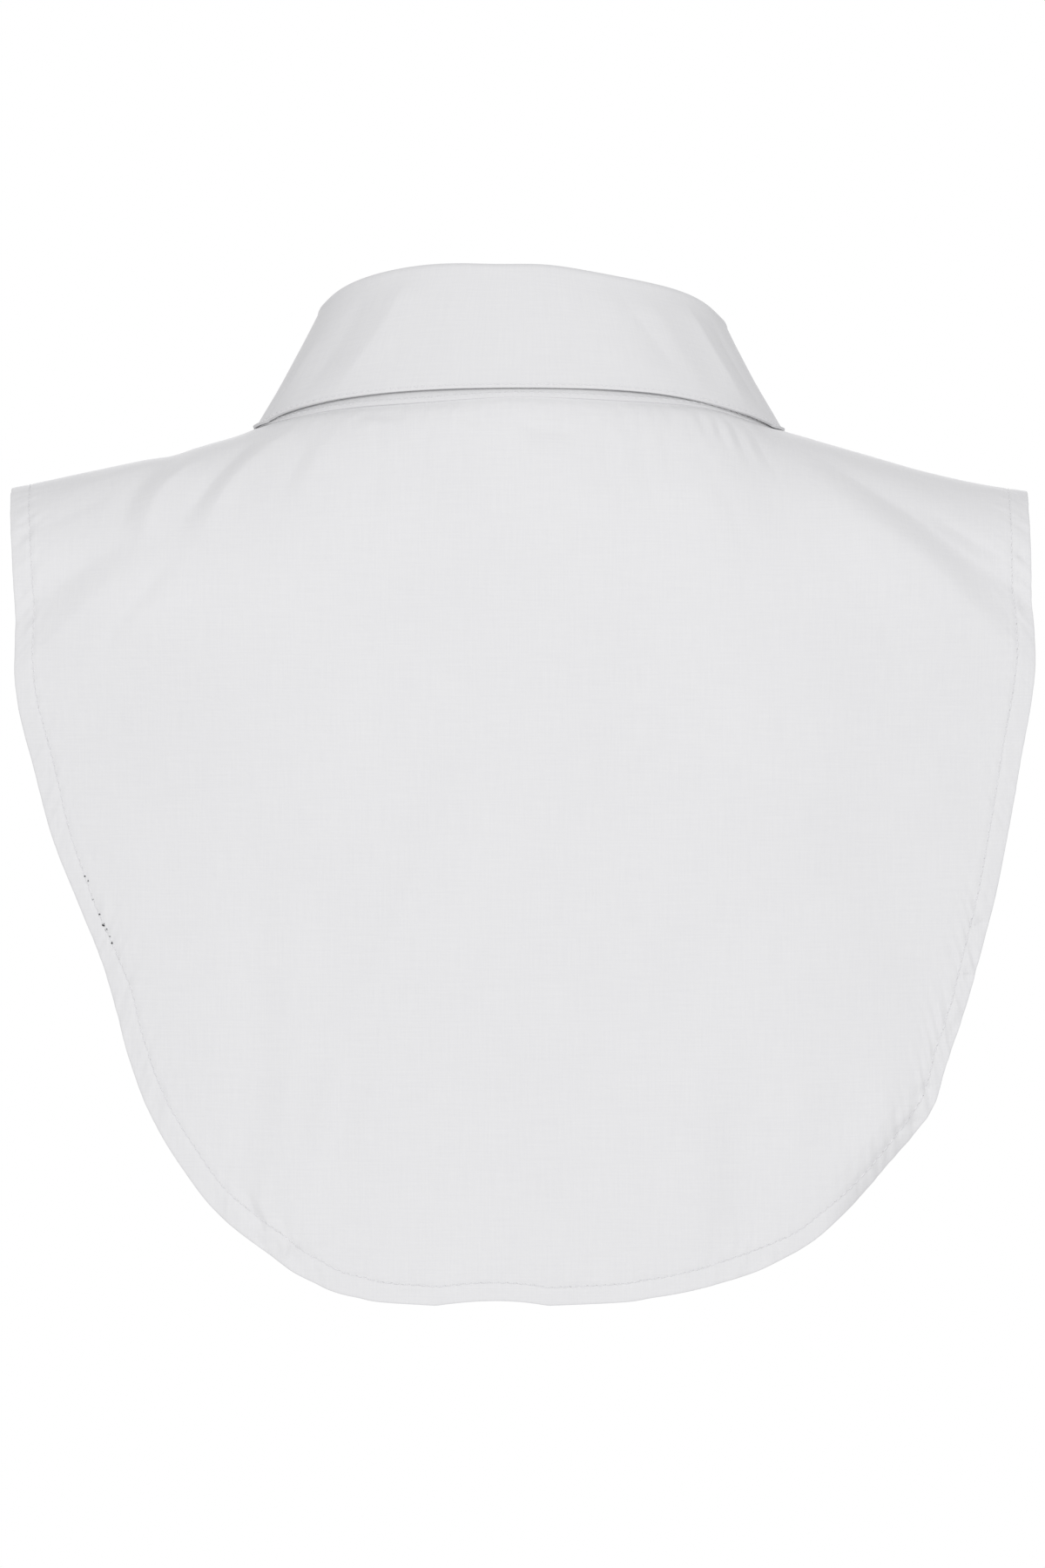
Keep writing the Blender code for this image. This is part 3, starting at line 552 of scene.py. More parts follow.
def leaf_edge(degrees):
    """The outer edge of the leaf: round the back of the neck, then down the chest to a point."""
    degrees = np.asarray(degrees, float)
    round_neck = np.abs(degrees)
    behind = ring(degrees, LEAF_EDGE_HALF_WIDTHS, LEAF_EDGE_BACK, LEAF_EDGE_BACK)
    behind[..., 2] = read_sides(LEAF_EDGE, round_neck, behind[..., 0])
    wider = np.where(degrees > 0, *LEAF_EDGE_HALF_WIDTHS) - LEAF_POINT[0][1]
    wider = wider * smooth_step((LEAF_WIDER_END - round_neck) / (LEAF_WIDER_END - QUARTER_TURN))
    x = np.sign(degrees) * (read_table(LEAF_POINT, round_neck, 1) + wider)
    down = down_at_height(x, read_table(LEAF_POINT, round_neck, 2), "chest")
    lift = LEAF_CLEARANCE * smooth_step((round_neck - QUARTER_TURN) / LEAF_LIFT_TURN)
    before = on_figure(x, down, "chest") + figure_normal(x, down, "chest") * lift[..., None]
    return np.where((round_neck <= QUARTER_TURN)[..., None], behind, before)


# ---- relief: folds, ripples and slow waves ---------------------------------------------------------


def smooth_line(points, steps=6):
    """A line through the points with soft turns, as Catmull-Rom curves."""
    p = np.array(points, float)
    p = np.vstack([2 * p[0] - p[1], p, 2 * p[-1] - p[-2]])
    t = (np.arange(steps) / steps)[:, None]
    spans = []
    for a, b, c, d in zip(p[:-3], p[1:-2], p[2:-1], p[3:]):
        bend = 2 * a - 5 * b + 4 * c - d + t * (3 * (b - c) + d - a)
        spans.append(b + 0.5 * t * (c - a + t * bend))
    return np.vstack([*spans, p[-2:-1]])


def fold_relief(places, folds):
    """The height of folds at an array of flat places, each fading at both of its ends."""
    flat = places.reshape(-1, 2)
    height = np.zeros(len(flat))
    for half_width, power, depth, points in folds:
        line = smooth_line(points)
        low, high = line.min(axis=0) - 3 * half_width, line.max(axis=0) + 3 * half_width
        near = np.flatnonzero(np.all((flat > low) & (flat < high), axis=1))
        start, span = line[:-1], np.diff(line, axis=0)
        lengths = np.linalg.norm(span, axis=1)
        before = np.concatenate([[0], np.cumsum(lengths)[:-1]])
        offset = flat[near, None] - start
        share = np.clip(np.sum(offset * span, axis=-1) / lengths**2, 0, 1)
        away = np.linalg.norm(offset - share[..., None] * span, axis=-1)
        nearest = np.arange(len(near)), np.argmin(away, axis=1)
        along = (before + share * lengths)[nearest] / lengths.sum()
        fade = smooth_step(along / FOLD_FADE) * smooth_step((1 - along) / FOLD_FADE)
        profile = bell(away[nearest], half_width, power)
        height[near] += depth * (FOLD_FAINT + (1 - FOLD_FAINT) * fade) * profile
    return height.reshape(places.shape[:-1])


def slow_waves(places, size, depth, seed):
    """Unevenness without direction, so that no stretch of cloth is geometrically perfect."""
    flat = places.reshape(-1, 2) / size
    offset = Vector((seed * 7.3, seed * 3.1, seed * 1.7))
    values = [noise.noise(Vector((*place, 0.0)) + offset) for place in flat]
    return depth * np.array(values).reshape(places.shape[:-1])


def hem_ripples(along, inset, length, ripples):
    """Cross puckers between the hem's stitching and its edge, fading out inside the stitching."""
    height = 0.0
    reach = smooth_step((HEM_STITCH * 2.4 - inset) / (HEM_STITCH * 1.4))
    for start, end, pitch, depth, slant in ripples:
        inside = smooth_step((along - start) / 0.02) * smooth_step((end - along) / 0.02)
        places = stack((along * length + slant * inset) / pitch, inset / 14.0)
        height = height + inside * reach * slow_waves(places, 0.55, depth * 2.4, pitch + start)
    return height


def stitch_groove(inset, stitch_at, depth=0.24, half_width=0.75):
    """The dent that a row of stitches pulls into the cloth."""
    return -depth * bell(inset - stitch_at, half_width)


def seam_crease(point, depth=0.22, half_width=1.3):
    """The sunk line of a shoulder seam, which runs along the top of the shoulder."""
    return depth * bell(point[..., 1], half_width)


def back_relief(point):
    seen = point[..., [0, 2]]
    wave = slow_waves(seen, 46.0, 0.35, 1) + slow_waves(seen, 19.0, 0.12, 2)
    return fold_relief(seen, BACK_FOLDS) + wave - seam_crease(point)


def front_relief(side):
    """The relief of a front, which on the right side also rises over the left front."""

    def relief(point):
        x, y, z = np.moveaxis(point, -1, 0)
        seen = stack(np.abs(x), z)
        beside = smooth_step((side * x + 4.0) / 24.0)
        wave = slow_waves(seen + side * 31.0, 42.0, 0.35, 3) + slow_waves(seen, 18.0, 0.12, 4)
        height = (fold_relief(seen, FRONT_FOLDS) * (1.0 + 0.12 * side) + wave) * beside
        before = smooth_step(-y / SEAM_BLEND)
        height = height * before + back_relief(point) * (1.0 - before)
        return height + OVER_FRONT * over_share(side * NAPE_TO_THROAT, x)

    return relief


# ---- bib panels --------------------------------------------------------------------------------


def outline_side(rows, column, side, part, steps=12):
    """(x, down) points of one side of an outline, from the shoulder tip down to its last row."""
    heights = np.array([row[0] for row in rows])
    shares = np.arange(len(heights) * steps - steps + 1) / steps
    z = np.interp(shares, np.arange(len(heights)), heights)
    x = side * read_table(rows, z, column)
    return np.vstack([[side * of_side(SHOULDER_TIPS, side), 0.0], stack(x, down_at_height(x, z, part))])


class Panel:
    """One panel of the bib: flat places between its neck seam and its hem, and its relief."""

    SAMPLES = 1601

    def __init__(self, part, outline, neck_degrees, relief, ripples, stitching=()):
        self.part, self.relief, self.ripples = part, relief, ripples
        self.shares = np.linspace(0, 1, self.SAMPLES)
        sewn = np.array(stitching or ((0.0, HEM_STITCH), (1.0, HEM_STITCH))).T
        self.stitching = np.interp(self.shares, *sewn)
        self.rolls = bool(stitching)
        self.edge = along_line(outline, self.shares)
        self.neck = stack(*neck_seam(np.interp(self.shares, (0, 1), neck_degrees)))
        inward = self.neck - self.edge
        self.reach = np.linalg.norm(inward, axis=-1)
        self.inward = inward / self.reach[:, None]
        tangent = unit(np.gradient(self.edge, axis=0))
        cross = tangent[:, 0] * self.inward[:, 1] - tangent[:, 1] * self.inward[:, 0]
        self.squint = np.clip(np.abs(cross), 0.5, 1.0)
        self.length = np.linalg.norm(np.diff(self.edge, axis=0), axis=-1).sum()

    def at(self, values, along):
        along = np.asarray(along, float)
        if values.ndim == 1:
            return np.interp(along, self.shares, values)
        return stack(*(np.interp(along, self.shares, column) for column in values.T))

    def flat(self, along, inset):
        """The flat place at a share along the hem and a distance in from it."""
        run = np.minimum(inset / self.at(self.squint, along), self.at(self.reach, along) + 4.0)
        return self.at(self.edge, along) + self.at(self.inward, along) * run[..., None]

    def surface(self, places, off=0.0):
        """Points of the cloth at flat places, standing off by its relief and a distance."""
        x, down = places[..., 0], np.maximum(places[..., 1], 0.0)
        point = on_figure(x, down, self.part)
        height = self.relief(point) + off - 0.3 * bell(down, 0.9)
        return point + figure_normal(x, down, self.part) * height[..., None]

    def hem_surface(self, along, inset, off=0.0):
        """The same near the hem, with its ripples and the groove of its stitching."""
        height = hem_ripples(along, inset, self.length, self.ripples)
        height = height + stitch_groove(inset, self.at(self.stitching, along)) + off
        if self.rolls:
            middle, reach, depth, width = HEM_ROLL
            rolled = bell(along - middle, reach, 4) * np.clip(1 - inset / width, 0, 1)
            height = height - depth * rolled**1.5
        from_neck = self.at(self.reach, along) * self.at(self.squint, along) - inset
        run = self.at(self.neck, along)[..., 0]
        gathers = slow_waves(stack(run / 3.6, from_neck / 11.0), 1.0, NECK_GATHER, 6)
        gathers = gathers * np.exp(-np.maximum(from_neck, 0) / 6.0)
        gathers = gathers * smooth_step((from_neck - 0.6) / 2.4)
        tucked = 0.2 * bell(np.maximum(from_neck, 0), 1.3)
        nape = NAPE_HOLLOW * bell(run, 55.0, 4) if self.part == "back" else 0.0
        hollow = nape * bell(from_neck - 15.0, 11.0)
        return self.surface(self.flat(along, inset), height + gathers - tucked - hollow)

    def weave_uv(self, places):
        """Warp and weft places, the weft being level where the cloth hangs plumb."""
        x, down = places[..., 0], np.maximum(places[..., 1], 0.0)
        level = down_at_height(x, LEVEL_WEFT, self.part)
        return stack(x, cloth_length(x, level, self.part) - cloth_length(x, down, self.part))


def make_panels():
    """The back, the left front and the right front."""
    left, right = (outline_side(BACK_OUTLINE, k, s, "back") for k, s in ((1, 1), (2, -1)))
    outline, turns = np.vstack([left, right[::-1]]), (QUARTER_TURN, -QUARTER_TURN)
    panels = {"back": Panel("back", outline, turns, back_relief, BACK_RIPPLES, BACK_STITCHING)}
    for name, side in SIDES:
        cut = np.array(-side * OVERLAP)
        corner = cut, down_at_height(cut, FRONT_OUTLINE[-1][0], "chest")
        outline = np.vstack([outline_side(FRONT_OUTLINE, 1, side, "chest"), corner])
        turns = (side * PAST_SHOULDER, side * STAND_END)
        panels[name] = Panel("chest", outline, turns, front_relief(side), FRONT_RIPPLES)
    return panels


# ---- meshes --------------------------------------------------------------------------------------


def add_piece(name, mesh, material, nodes=()):
    """A finished piece: it rides on the one body and stands for its CAD nodes."""
    mesh.materials.clear()
    mesh.materials.append(material)
    obj = bpy.data.objects.new(name, mesh)
    bpy.context.scene.collection.objects.link(obj)
    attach(obj, ROOT)
    if nodes:
        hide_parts(*nodes)
    return obj


def mesh_from(name, verts, faces, edges=()):
    mesh = bpy.data.meshes.new(name)
    mesh.from_pydata((np.asarray(verts).reshape(-1, 3) * MM).tolist(), list(edges), list(faces))
    return mesh


def worked_out(obj):
    """A new mesh of an object with its modifiers applied."""
    bpy.context.view_layer.update()
    graph = bpy.context.evaluated_depsgraph_get()
    return bpy.data.meshes.new_from_object(obj.evaluated_get(graph))


def add_cloth(name, points, uvs, outward, material, thickness, rim=0.0, nodes=()):
    """A walled sheet through rows and columns of points, as quads that face outward.

    outward is a rough direction out of the middle of the sheet. UVs are in millimetres of cloth.
    """
    rows, columns = points.shape[:2]
    index = np.arange(rows * columns).reshape(rows, columns)
    quads = np.stack([index[:-1, :-1], index[:-1, 1:], index[1:, 1:], index[1:, :-1]], axis=-1)
    r, c = rows // 2, columns // 2
    way = np.cross(points[r, c + 1] - points[r, c], points[r + 1, c] - points[r, c])
    quads = (quads if np.dot(way, outward) > 0 else quads[..., ::-1]).reshape(-1, 4)
    mesh = mesh_from(name, points, quads.tolist())
    for label, uv in uvs.items():
        layer = mesh.uv_layers.new(name=label)
        layer.data.foreach_set("uv", (uv.reshape(-1, 2)[quads.ravel()] * MM).ravel())
    mesh.shade_smooth()
    obj = add_piece(name, mesh, material, nodes=nodes)
    solid = obj.modifiers.new("wall", "SOLIDIFY")
    solid.thickness, solid.offset, solid.use_quality_normals = thickness * MM, -1.0, True
    if rim:
        bevel = obj.modifiers.new("rim", "BEVEL")
        bevel.width, bevel.segments = rim * MM, 2
        bevel.limit_method, bevel.angle_limit = "ANGLE", math.radians(55)
    return obj


def panel_cloth(name, panel, material, columns, body_rows):
    """A panel's cloth, from under the stand to the hem, round its edge and back up inside it."""
    along = np.linspace(0, 1, columns)[None, :]
    top = panel.at(panel.reach, along) * panel.at(panel.squint, along) + NECK_TURN
    near_neck = np.arange(0, 13, 0.95)[:, None]
    shares = np.linspace(0, 1, body_rows - len(near_neck) + 1)[1:, None]
    low = top - near_neck[-1]
    hem = np.linspace(HEM_BAND, HEM_THICK / 2, 15)[1:, None] + 0 * along
    insets = [top - near_neck, low + (HEM_BAND - low) * shares, hem]
    offs = [0 * rows for rows in insets]
    turn = np.radians(np.linspace(0, 180, 7))[1:, None] + 0 * along
    insets.append(HEM_THICK / 2 * (1 - np.sin(turn)))
    offs.append(-HEM_THICK / 2 * (1 - np.cos(turn)))
    sewn = panel.at(panel.stitching, along)
    insets.append(np.vstack([0.35 * sewn, 0.75 * sewn, sewn, sewn + HEM_FOLD]))
    offs.append(np.array([-1.0, -0.95, -0.8, -0.8])[:, None] * HEM_THICK + 0 * along)
    insets, offs = np.vstack(insets), np.vstack(offs)
    along = np.broadcast_to(along, insets.shape)
    points = panel.hem_surface(along, insets, offs)
    uvs = {"weave": panel.weave_uv(panel.flat(along, insets))}
    uvs["hem"] = stack(along * panel.length, insets)
    outward = (0, 1 if panel.part == "back" else -1, 0)
    return add_cloth(name + "_cloth", points, uvs, outward, material, POPLIN, nodes=[name])


# ---- collar ----------------------------------------------------------------------------------------


def stand_surface(degrees, share, off=0.0):
    """A point of the stand's outer face. share is the way up it, off its front corners."""
    degrees = np.asarray(degrees, float)
    x, down = neck_seam(degrees)
    foot = by_part(degrees, lambda part: on_figure(x, down, part))
    normal = by_part(degrees, lambda part: figure_normal(x, down, part))
    foot = foot + normal * (STAND_FOOT_GAP + OVER_FRONT * over_share(degrees, x))[..., None]
    head = roll_centre(degrees) - ring_normal(degrees, ROLL_RING) * (ROLL_RADIUS - COLLAR_THICK)
    head[..., 2] -= ROLL_LEG + STAND_HEAD_GAP
    height = np.linalg.norm(head - foot, axis=-1)
    to_end = np.radians(STAND_END - np.abs(degrees)) * NECK_FRONT
    short = np.clip(STAND_CORNER - to_end, 0.0, STAND_CORNER)
    cut = (STAND_CORNER - np.sqrt(STAND_CORNER**2 - short**2)) / height
    rise = np.asarray(share) * (1 - cut)
    relief = off + stitch_groove(rise * height, COLLAR_STITCH, 0.09, 0.4)
    out = ring_normal(degrees, NECK_RING)
    return foot + (head - foot) * rise[..., None] + out * relief[..., None]


def stand_rise(degrees):
    """The way from the stand's foot to its head, off its corners."""
    return stand_surface(degrees, 1.0) - stand_surface(degrees, 0.0)


def make_stand(material, columns=620, rows=24):
    degrees = np.linspace(-STAND_END, STAND_END, columns)[None, :]
    shares = (np.linspace(0, 1, rows) ** 1.25)[:, None]
    degrees, shares = np.broadcast_arrays(degrees, shares)
    uvs = {"weave": stack(np.radians(degrees) * NECK_FRONT, shares * STAND_HEIGHT)}
    points, name = stand_surface(degrees, shares), "collar_stand"
    return add_cloth(
        name + "_cloth", points, uvs, (0, 1, 0), material, COLLAR_THICK, COLLAR_RIM, [name]
    )


def leaf_fall(degrees, share, off=0.0):
    """A point of the leaf's outer face, from the roll at share 0 to its edge at share 1."""
    degrees, share = np.broadcast_arrays(np.asarray(degrees, float), share)
    normal = ring_normal(degrees, ROLL_RING)
    start, edge = roll_centre(degrees) + normal * ROLL_RADIUS, leaf_edge(degrees)
    at_side = np.sin(np.radians(degrees)) ** 2
    bow = (LEAF_BOW[0] + (LEAF_BOW[1] - LEAF_BOW[0]) * at_side) * 4 * share * (1 - share)
    places = stack(degrees, share * LEAF_DEPTH)
    folds = [(*shape, [(a, b * LEAF_DEPTH) for a, b in line]) for *shape, line in LEAF_FOLDS]
    relief = fold_relief(places, folds) + slow_waves(places, 15.0, 0.15, 5)
    relief = relief * smooth_step(share / 0.25) * (1 - 0.4 * smooth_step((share - 0.7) / 0.3))
    inset = (1 - share) * np.linalg.norm(edge - start, axis=-1)
    relief = relief + stitch_groove(inset, COLLAR_STITCH, 0.1, 0.4) + off + bow
    point = start + (edge - start) * share[..., None] + normal * relief[..., None]
    clearance = LEAF_CLEARANCE + OVER_FRONT * over_share(degrees, point[..., 0])
    return by_part(degrees, lambda part: clear_of_figure(point, part, clearance))


def make_leaf(material, columns=600, fall_rows=54, roll_rows=10):
    """The leaf: up from the stand, over the roll and down to its edge."""
    degrees = np.linspace(-LEAF_END, LEAF_END, columns)[None, :]
    centre, normal = roll_centre(degrees), ring_normal(degrees, ROLL_RING)
    up = np.array([0.0, 0.0, 1.0])
    leg = [centre - normal * ROLL_RADIUS - up * drop for drop in (ROLL_LEG, ROLL_LEG / 2)]
    turns = np.radians(180 * (1 - np.arange(roll_rows) / roll_rows))
    roll = [centre + (normal * math.cos(a) + up * math.sin(a)) * ROLL_RADIUS for a in turns]
    shares = (1 - (1 - np.linspace(0, 1, fall_rows)) ** 1.3)[:, None]
    points = np.vstack([*leg, *roll, leaf_fall(degrees, shares)])
    lengths = np.linalg.norm(np.diff(points[:, columns // 2], axis=0), axis=-1)
    heights = np.concatenate([[0], np.cumsum(lengths)])[:, None]
    uvs = {"weave": stack(np.radians(degrees) * ROLL_HALF_WIDTH, -heights)}
    name = "collar_leaf"
    return add_cloth(
        name + "_cloth", points, uvs, (0, 1, 0), material, COLLAR_THICK, COLLAR_RIM, [name]
    )


# ---- plackets and shoulder seams ---------------------------------------------------------------------


def placket_surface(panel, side, across, share, off=0.0):
    """A point on a placket: across it from the front's edge, and a share of the way down it."""
    x, share = np.broadcast_arrays(side * (across - OVERLAP), share)
    neck_y = -NECK_FRONT * np.sqrt(1 - (x / of_side(NECK_HALF_WIDTHS, side)) ** 2)
    top = down_at_depth(x, neck_y, "chest")
    hem = read_table([(out, height) for height, out in FRONT_OUTLINE[::-1]], np.abs(x), 1)
    low = down_at_height(x, hem, "chest")
    return panel.surface(stack(x, top + (low - top) * share), off)


def make_placket(name, panel, side, material, columns=26, rows=300):
    """A folded strip down a front's edge, stitched along both of its sides."""
    width, stitch = PLACKET_WIDTH, PLACKET_STITCH
    across = np.linspace(-0.15, width, columns)[None, :]
    share = np.linspace(-0.004, 1.0005, rows)[:, None]
    groove = sum(stitch_groove(across, at, 0.12, 0.5) for at in (stitch, width - stitch))
    ripple = 0.06 * np.sin(share * 260 + across * 0.3) * bell(across - width / 2, 7.0)
    edge = 1 - smooth_step(across / 0.5) + smooth_step((across - (width - 0.5)) / 0.5)
    points = placket_surface(panel, side, across, share, STRIP_THICK + groove + ripple - 0.35 * edge)
    uvs = {"weave": stack(across, -share * 200.0)}
    return add_cloth(name, points, uvs, (0, -1, 0), material, STRIP_THICK)


def make_shoulder_seam(name, side, panels, material, half_width=7.0, rows=15, columns=110):
    """The seam allowance that lies flat inside a shoulder seam."""
    start, end = of_side(NECK_HALF_WIDTHS, side) + 0.5, of_side(SHOULDER_TIPS, side) - 1.0
    x = side * np.linspace(start, end, columns)[None, :]
    to_back = np.linspace(-half_width, half_width, rows)[:, None]
    places = stack(x, np.abs(to_back))
    front = panels["left" if side > 0 else "right"]
    back, front = (panel.surface(places, -SEAM_INSIDE) for panel in (panels["back"], front))
    points = np.where((to_back > 0)[..., None], back, front)
    return add_cloth(name, points, {"weave": stack(x, to_back)}, (0, 0, 1), material, STRIP_THICK)


# ---- stitches ---------------------------------------------------------------------------------------


def walk(points, beside, pitch=STITCH_PITCH, length=STITCH_LENGTH):
    """Stitches along a line on a surface, with a neighbouring line to tell how it faces.

    Returns their ends and their outward normals. Each stitch lies a little across the line.
    """
    steps = np.linalg.norm(np.diff(points, axis=0), axis=-1)
    lengths = np.concatenate([[0], np.cumsum(steps)])
    starts = np.arange(pitch / 2, lengths[-1] - length, pitch)

    def at(line, where):
        return stack(*(np.interp(where, lengths, values) for values in line.T))

    ends = np.stack([at(points, starts), at(points, starts + length)], axis=1)
    aside = unit(at(beside, starts) - ends[:, 0])
    normal = unit(np.cross(ends[:, 1] - ends[:, 0], aside))
    outward = ends.mean(axis=1) * (1, 1, 0) + (0, 0, 60.0)
    normal *= np.sign(np.sum(normal * outward, axis=-1))[:, None]
    return ends + np.array([[-1.0], [1.0]]) * aside[:, None] * STITCH_SKEW, normal


def hem_stitches(panel, columns=2400, start=0.002, end=0.998):
    along = np.linspace(start, end, columns)
    sewn = panel.at(panel.stitching, along)
    return walk(*(panel.hem_surface(along, sewn + aside, 0.12) for aside in (0.0, 0.6)))


def leaf_stitches():
    """Stitching round the leaf: along its edge and up both of its fronts."""
    end = LEAF_END - LEAF_STITCH_END
    degrees = np.linspace(-end, end, 2400)
    share = 1 - COLLAR_STITCH / np.linalg.norm(leaf_edge(degrees) - roll_centre(degrees), axis=-1)
    down = np.linspace(0.06, 0.965, 240)
    lines = [((degrees, share), (degrees, share - 0.02))]
    lines += [((side * end, down), (side * (end - 1), down)) for side in (-1, 1)]
    return [walk(*(leaf_fall(*place, 0.06) for place in line), 2.6, 2.1) for line in lines]


def stand_stitches():
    """Stitching round the stand: along its foot and up both of its ends."""
    end = STAND_END - STAND_STITCH_END
    degrees = np.linspace(-end, end, 2200)
    share = COLLAR_STITCH * 1.3 / np.linalg.norm(stand_rise(degrees), axis=-1)
    up = np.linspace(0.08, 0.92, 160)
    lines = [((degrees, share, 0.07), (degrees, share + 0.03, 0.07))]
    lines += [((side * end, up, 0.06), (side * (end - 1), up, 0.06)) for side in (-1, 1)]
    return [walk(*(stand_surface(*place) for place in line), 2.7, 2.15) for line in lines]


def placket_stitches(panel, side):
    share = np.linspace(0.002, 0.998, 900)
    return [
        walk(*(placket_surface(panel, side, across + d, share, 0.38) for d in (0.0, 0.5)))
        for across in (PLACKET_STITCH, PLACKET_WIDTH - PLACKET_STITCH)
    ]


class Tree:
    """A node tree under construction."""

    def __init__(self, tree):
        self.nodes, self.link = tree.nodes, tree.links.new

    def add(self, kind, inputs=None, **settings):
        """The outputs of a new node. Each of its inputs is a value or another node's output."""
        node = self.nodes.new(kind)
        for key, value in settings.items():
            setattr(node, key, value)
        self.join(node, inputs or {})
        return node.outputs

    def join(self, node, inputs):
        for key, value in inputs.items():
            if isinstance(value, bpy.types.NodeSocket):
                self.link(value, node.inputs[key])
            else:
                node.inputs[key].default_value = value

    def math(self, operation, a, b):
        return self.add("ShaderNodeMath", {0: a, 1: b}, operation=operation)["Value"]


def stitch_tree():
    """Geometry nodes: a thread-shaped stitch on every edge of a mesh."""
    group = bpy.data.node_groups.new("stitches", "GeometryNodeTree")
    kinds = {"Geometry": "Geometry", "Thread Radius": "Float", "Unevenness": "Float", "Seed": "Int"}
    kinds["Thread"] = "Material"
    names = {}
    for name, kind in kinds.items():
        socket = "NodeSocket" + kind
        names[name] = group.interface.new_socket(name, in_out="INPUT", socket_type=socket).identifier
    group.interface.new_socket("Geometry", in_out="OUTPUT", socket_type="NodeSocketGeometry")
    tree = Tree(group)
    given = tree.add("NodeGroupInput")
    ends = tree.add("GeometryNodeInputMeshEdgeVertices")
    ends = {0: ends["Position 2"], 1: ends["Position 1"]}
    span = tree.add("ShaderNodeVectorMath", ends, operation="SUBTRACT")["Vector"]
    keep = tree.nodes.new("GeometryNodeCaptureAttribute")
    keep.domain = "EDGE"
    keep.capture_items.new("VECTOR", "Span")
    tree.join(keep, {"Geometry": given["Geometry"], "Span": span})
    kept = keep.outputs
    middles = tree.add("GeometryNodeMeshToPoints", {"Mesh": kept["Geometry"]}, mode="EDGES")
    turned = tree.add("FunctionNodeAlignRotationToVector", {"Vector": kept["Span"]}, axis="X")
    long = tree.add("ShaderNodeVectorMath", {0: kept["Span"]}, operation="LENGTH")["Value"]
    # inputs 2 and 3 and output 1 are the node's least, greatest and value as plain numbers
    limits = {2: tree.math("SUBTRACT", 1.0, given["Unevenness"]), 3: 1.0, "Seed": given["Seed"]}
    varied = tree.add("FunctionNodeRandomValue", limits, data_type="FLOAT")[1]
    half = tree.math("MULTIPLY", tree.math("MULTIPLY", long, 0.5), varied)
    radius = given["Thread Radius"]
    size = tree.add("ShaderNodeCombineXYZ", {"X": half, "Y": radius, "Z": radius})["Vector"]
    shape = {"Segments": 6, "Rings": 5, "Radius": 1.0}
    bead = tree.add("GeometryNodeMeshUVSphere", shape)["Mesh"]
    lying = {"Geometry": bead, "Rotation": (0.0, math.pi / 2, 0.0)}
    bead = tree.add("GeometryNodeTransform", lying)["Geometry"]
    places = {"Points": middles["Points"], "Instance": bead}
    places |= {"Rotation": turned["Rotation"], "Scale": size}
    made = tree.add("GeometryNodeInstanceOnPoints", places)["Instances"]
    made = tree.add("GeometryNodeRealizeInstances", {"Geometry": made})["Geometry"]
    made = tree.add("GeometryNodeSetShadeSmooth", {"Geometry": made})["Geometry"]
    paint = {"Geometry": made, "Material": given["Thread"]}
    made = tree.add("GeometryNodeSetMaterial", paint)["Geometry"]
    tree.add("NodeGroupOutput", {"Geometry": made})
    return group, names


def make_stitches(name, ends, thread, tools, seed, radius=THREAD_RADIUS, uneven=0.12):
    """A piece of stitches, one for each pair of ends."""
    group, names = tools
    edges = np.arange(len(ends) * 2).reshape(-1, 2).tolist()
    guide = bpy.data.objects.new(name + "_guide", mesh_from(name + "_guide", ends, [], edges))
    bpy.context.scene.collection.objects.link(guide)
    nodes = guide.modifiers.new("stitches", "NODES")
    nodes.node_group = group
    given = {"Thread Radius": radius * MM, "Unevenness": uneven, "Seed": seed, "Thread": thread}
    for label, value in given.items():
        nodes[names[label]] = value
    mesh = worked_out(guide)
    mesh.name = name
    bpy.data.objects.remove(guide)
    return add_piece(name, mesh, thread)


def hollow_cones(name, rims, deep, material):
    """Small sunk cones, one from each ring of rim points to its deep point."""
    count, sides = rims.shape[:2]
    verts = np.concatenate([rims, deep[:, None]], axis=1)
    first, turn = np.arange(count)[:, None] * (sides + 1), np.arange(sides)
    faces = np.stack([first + turn, first + (turn + 1) % sides, first + sides + 0 * turn], axis=-1)
    return add_piece(name, mesh_from(name, verts, faces.reshape(-1, 3).tolist()), material)


def needle_pits(name, rows, material, sides=5):
    """A small dark pit at each end of every stitch, where the thread dives into the cloth."""
    ends, normals = (np.concatenate(parts) for parts in zip(*rows))
    run = unit(ends[:, 1] - ends[:, 0])
    aside = np.cross(normals, run)
    angles = 2 * math.pi * np.arange(sides)[:, None, None] / sides
    circle = (run * np.cos(angles) + aside * np.sin(angles)) * PIT_RADIUS
    ahead = run * PIT_AHEAD
    middles = [ends[:, 0] - ahead, ends[:, 1] + ahead]
    rims = np.concatenate([(m - normals * PIT_SINK + circle).swapaxes(0, 1) for m in middles])
    deep = rims.mean(axis=1) - np.concatenate([normals, normals]) * PIT_DEPTH
    return hollow_cones(name, rims, deep, material)


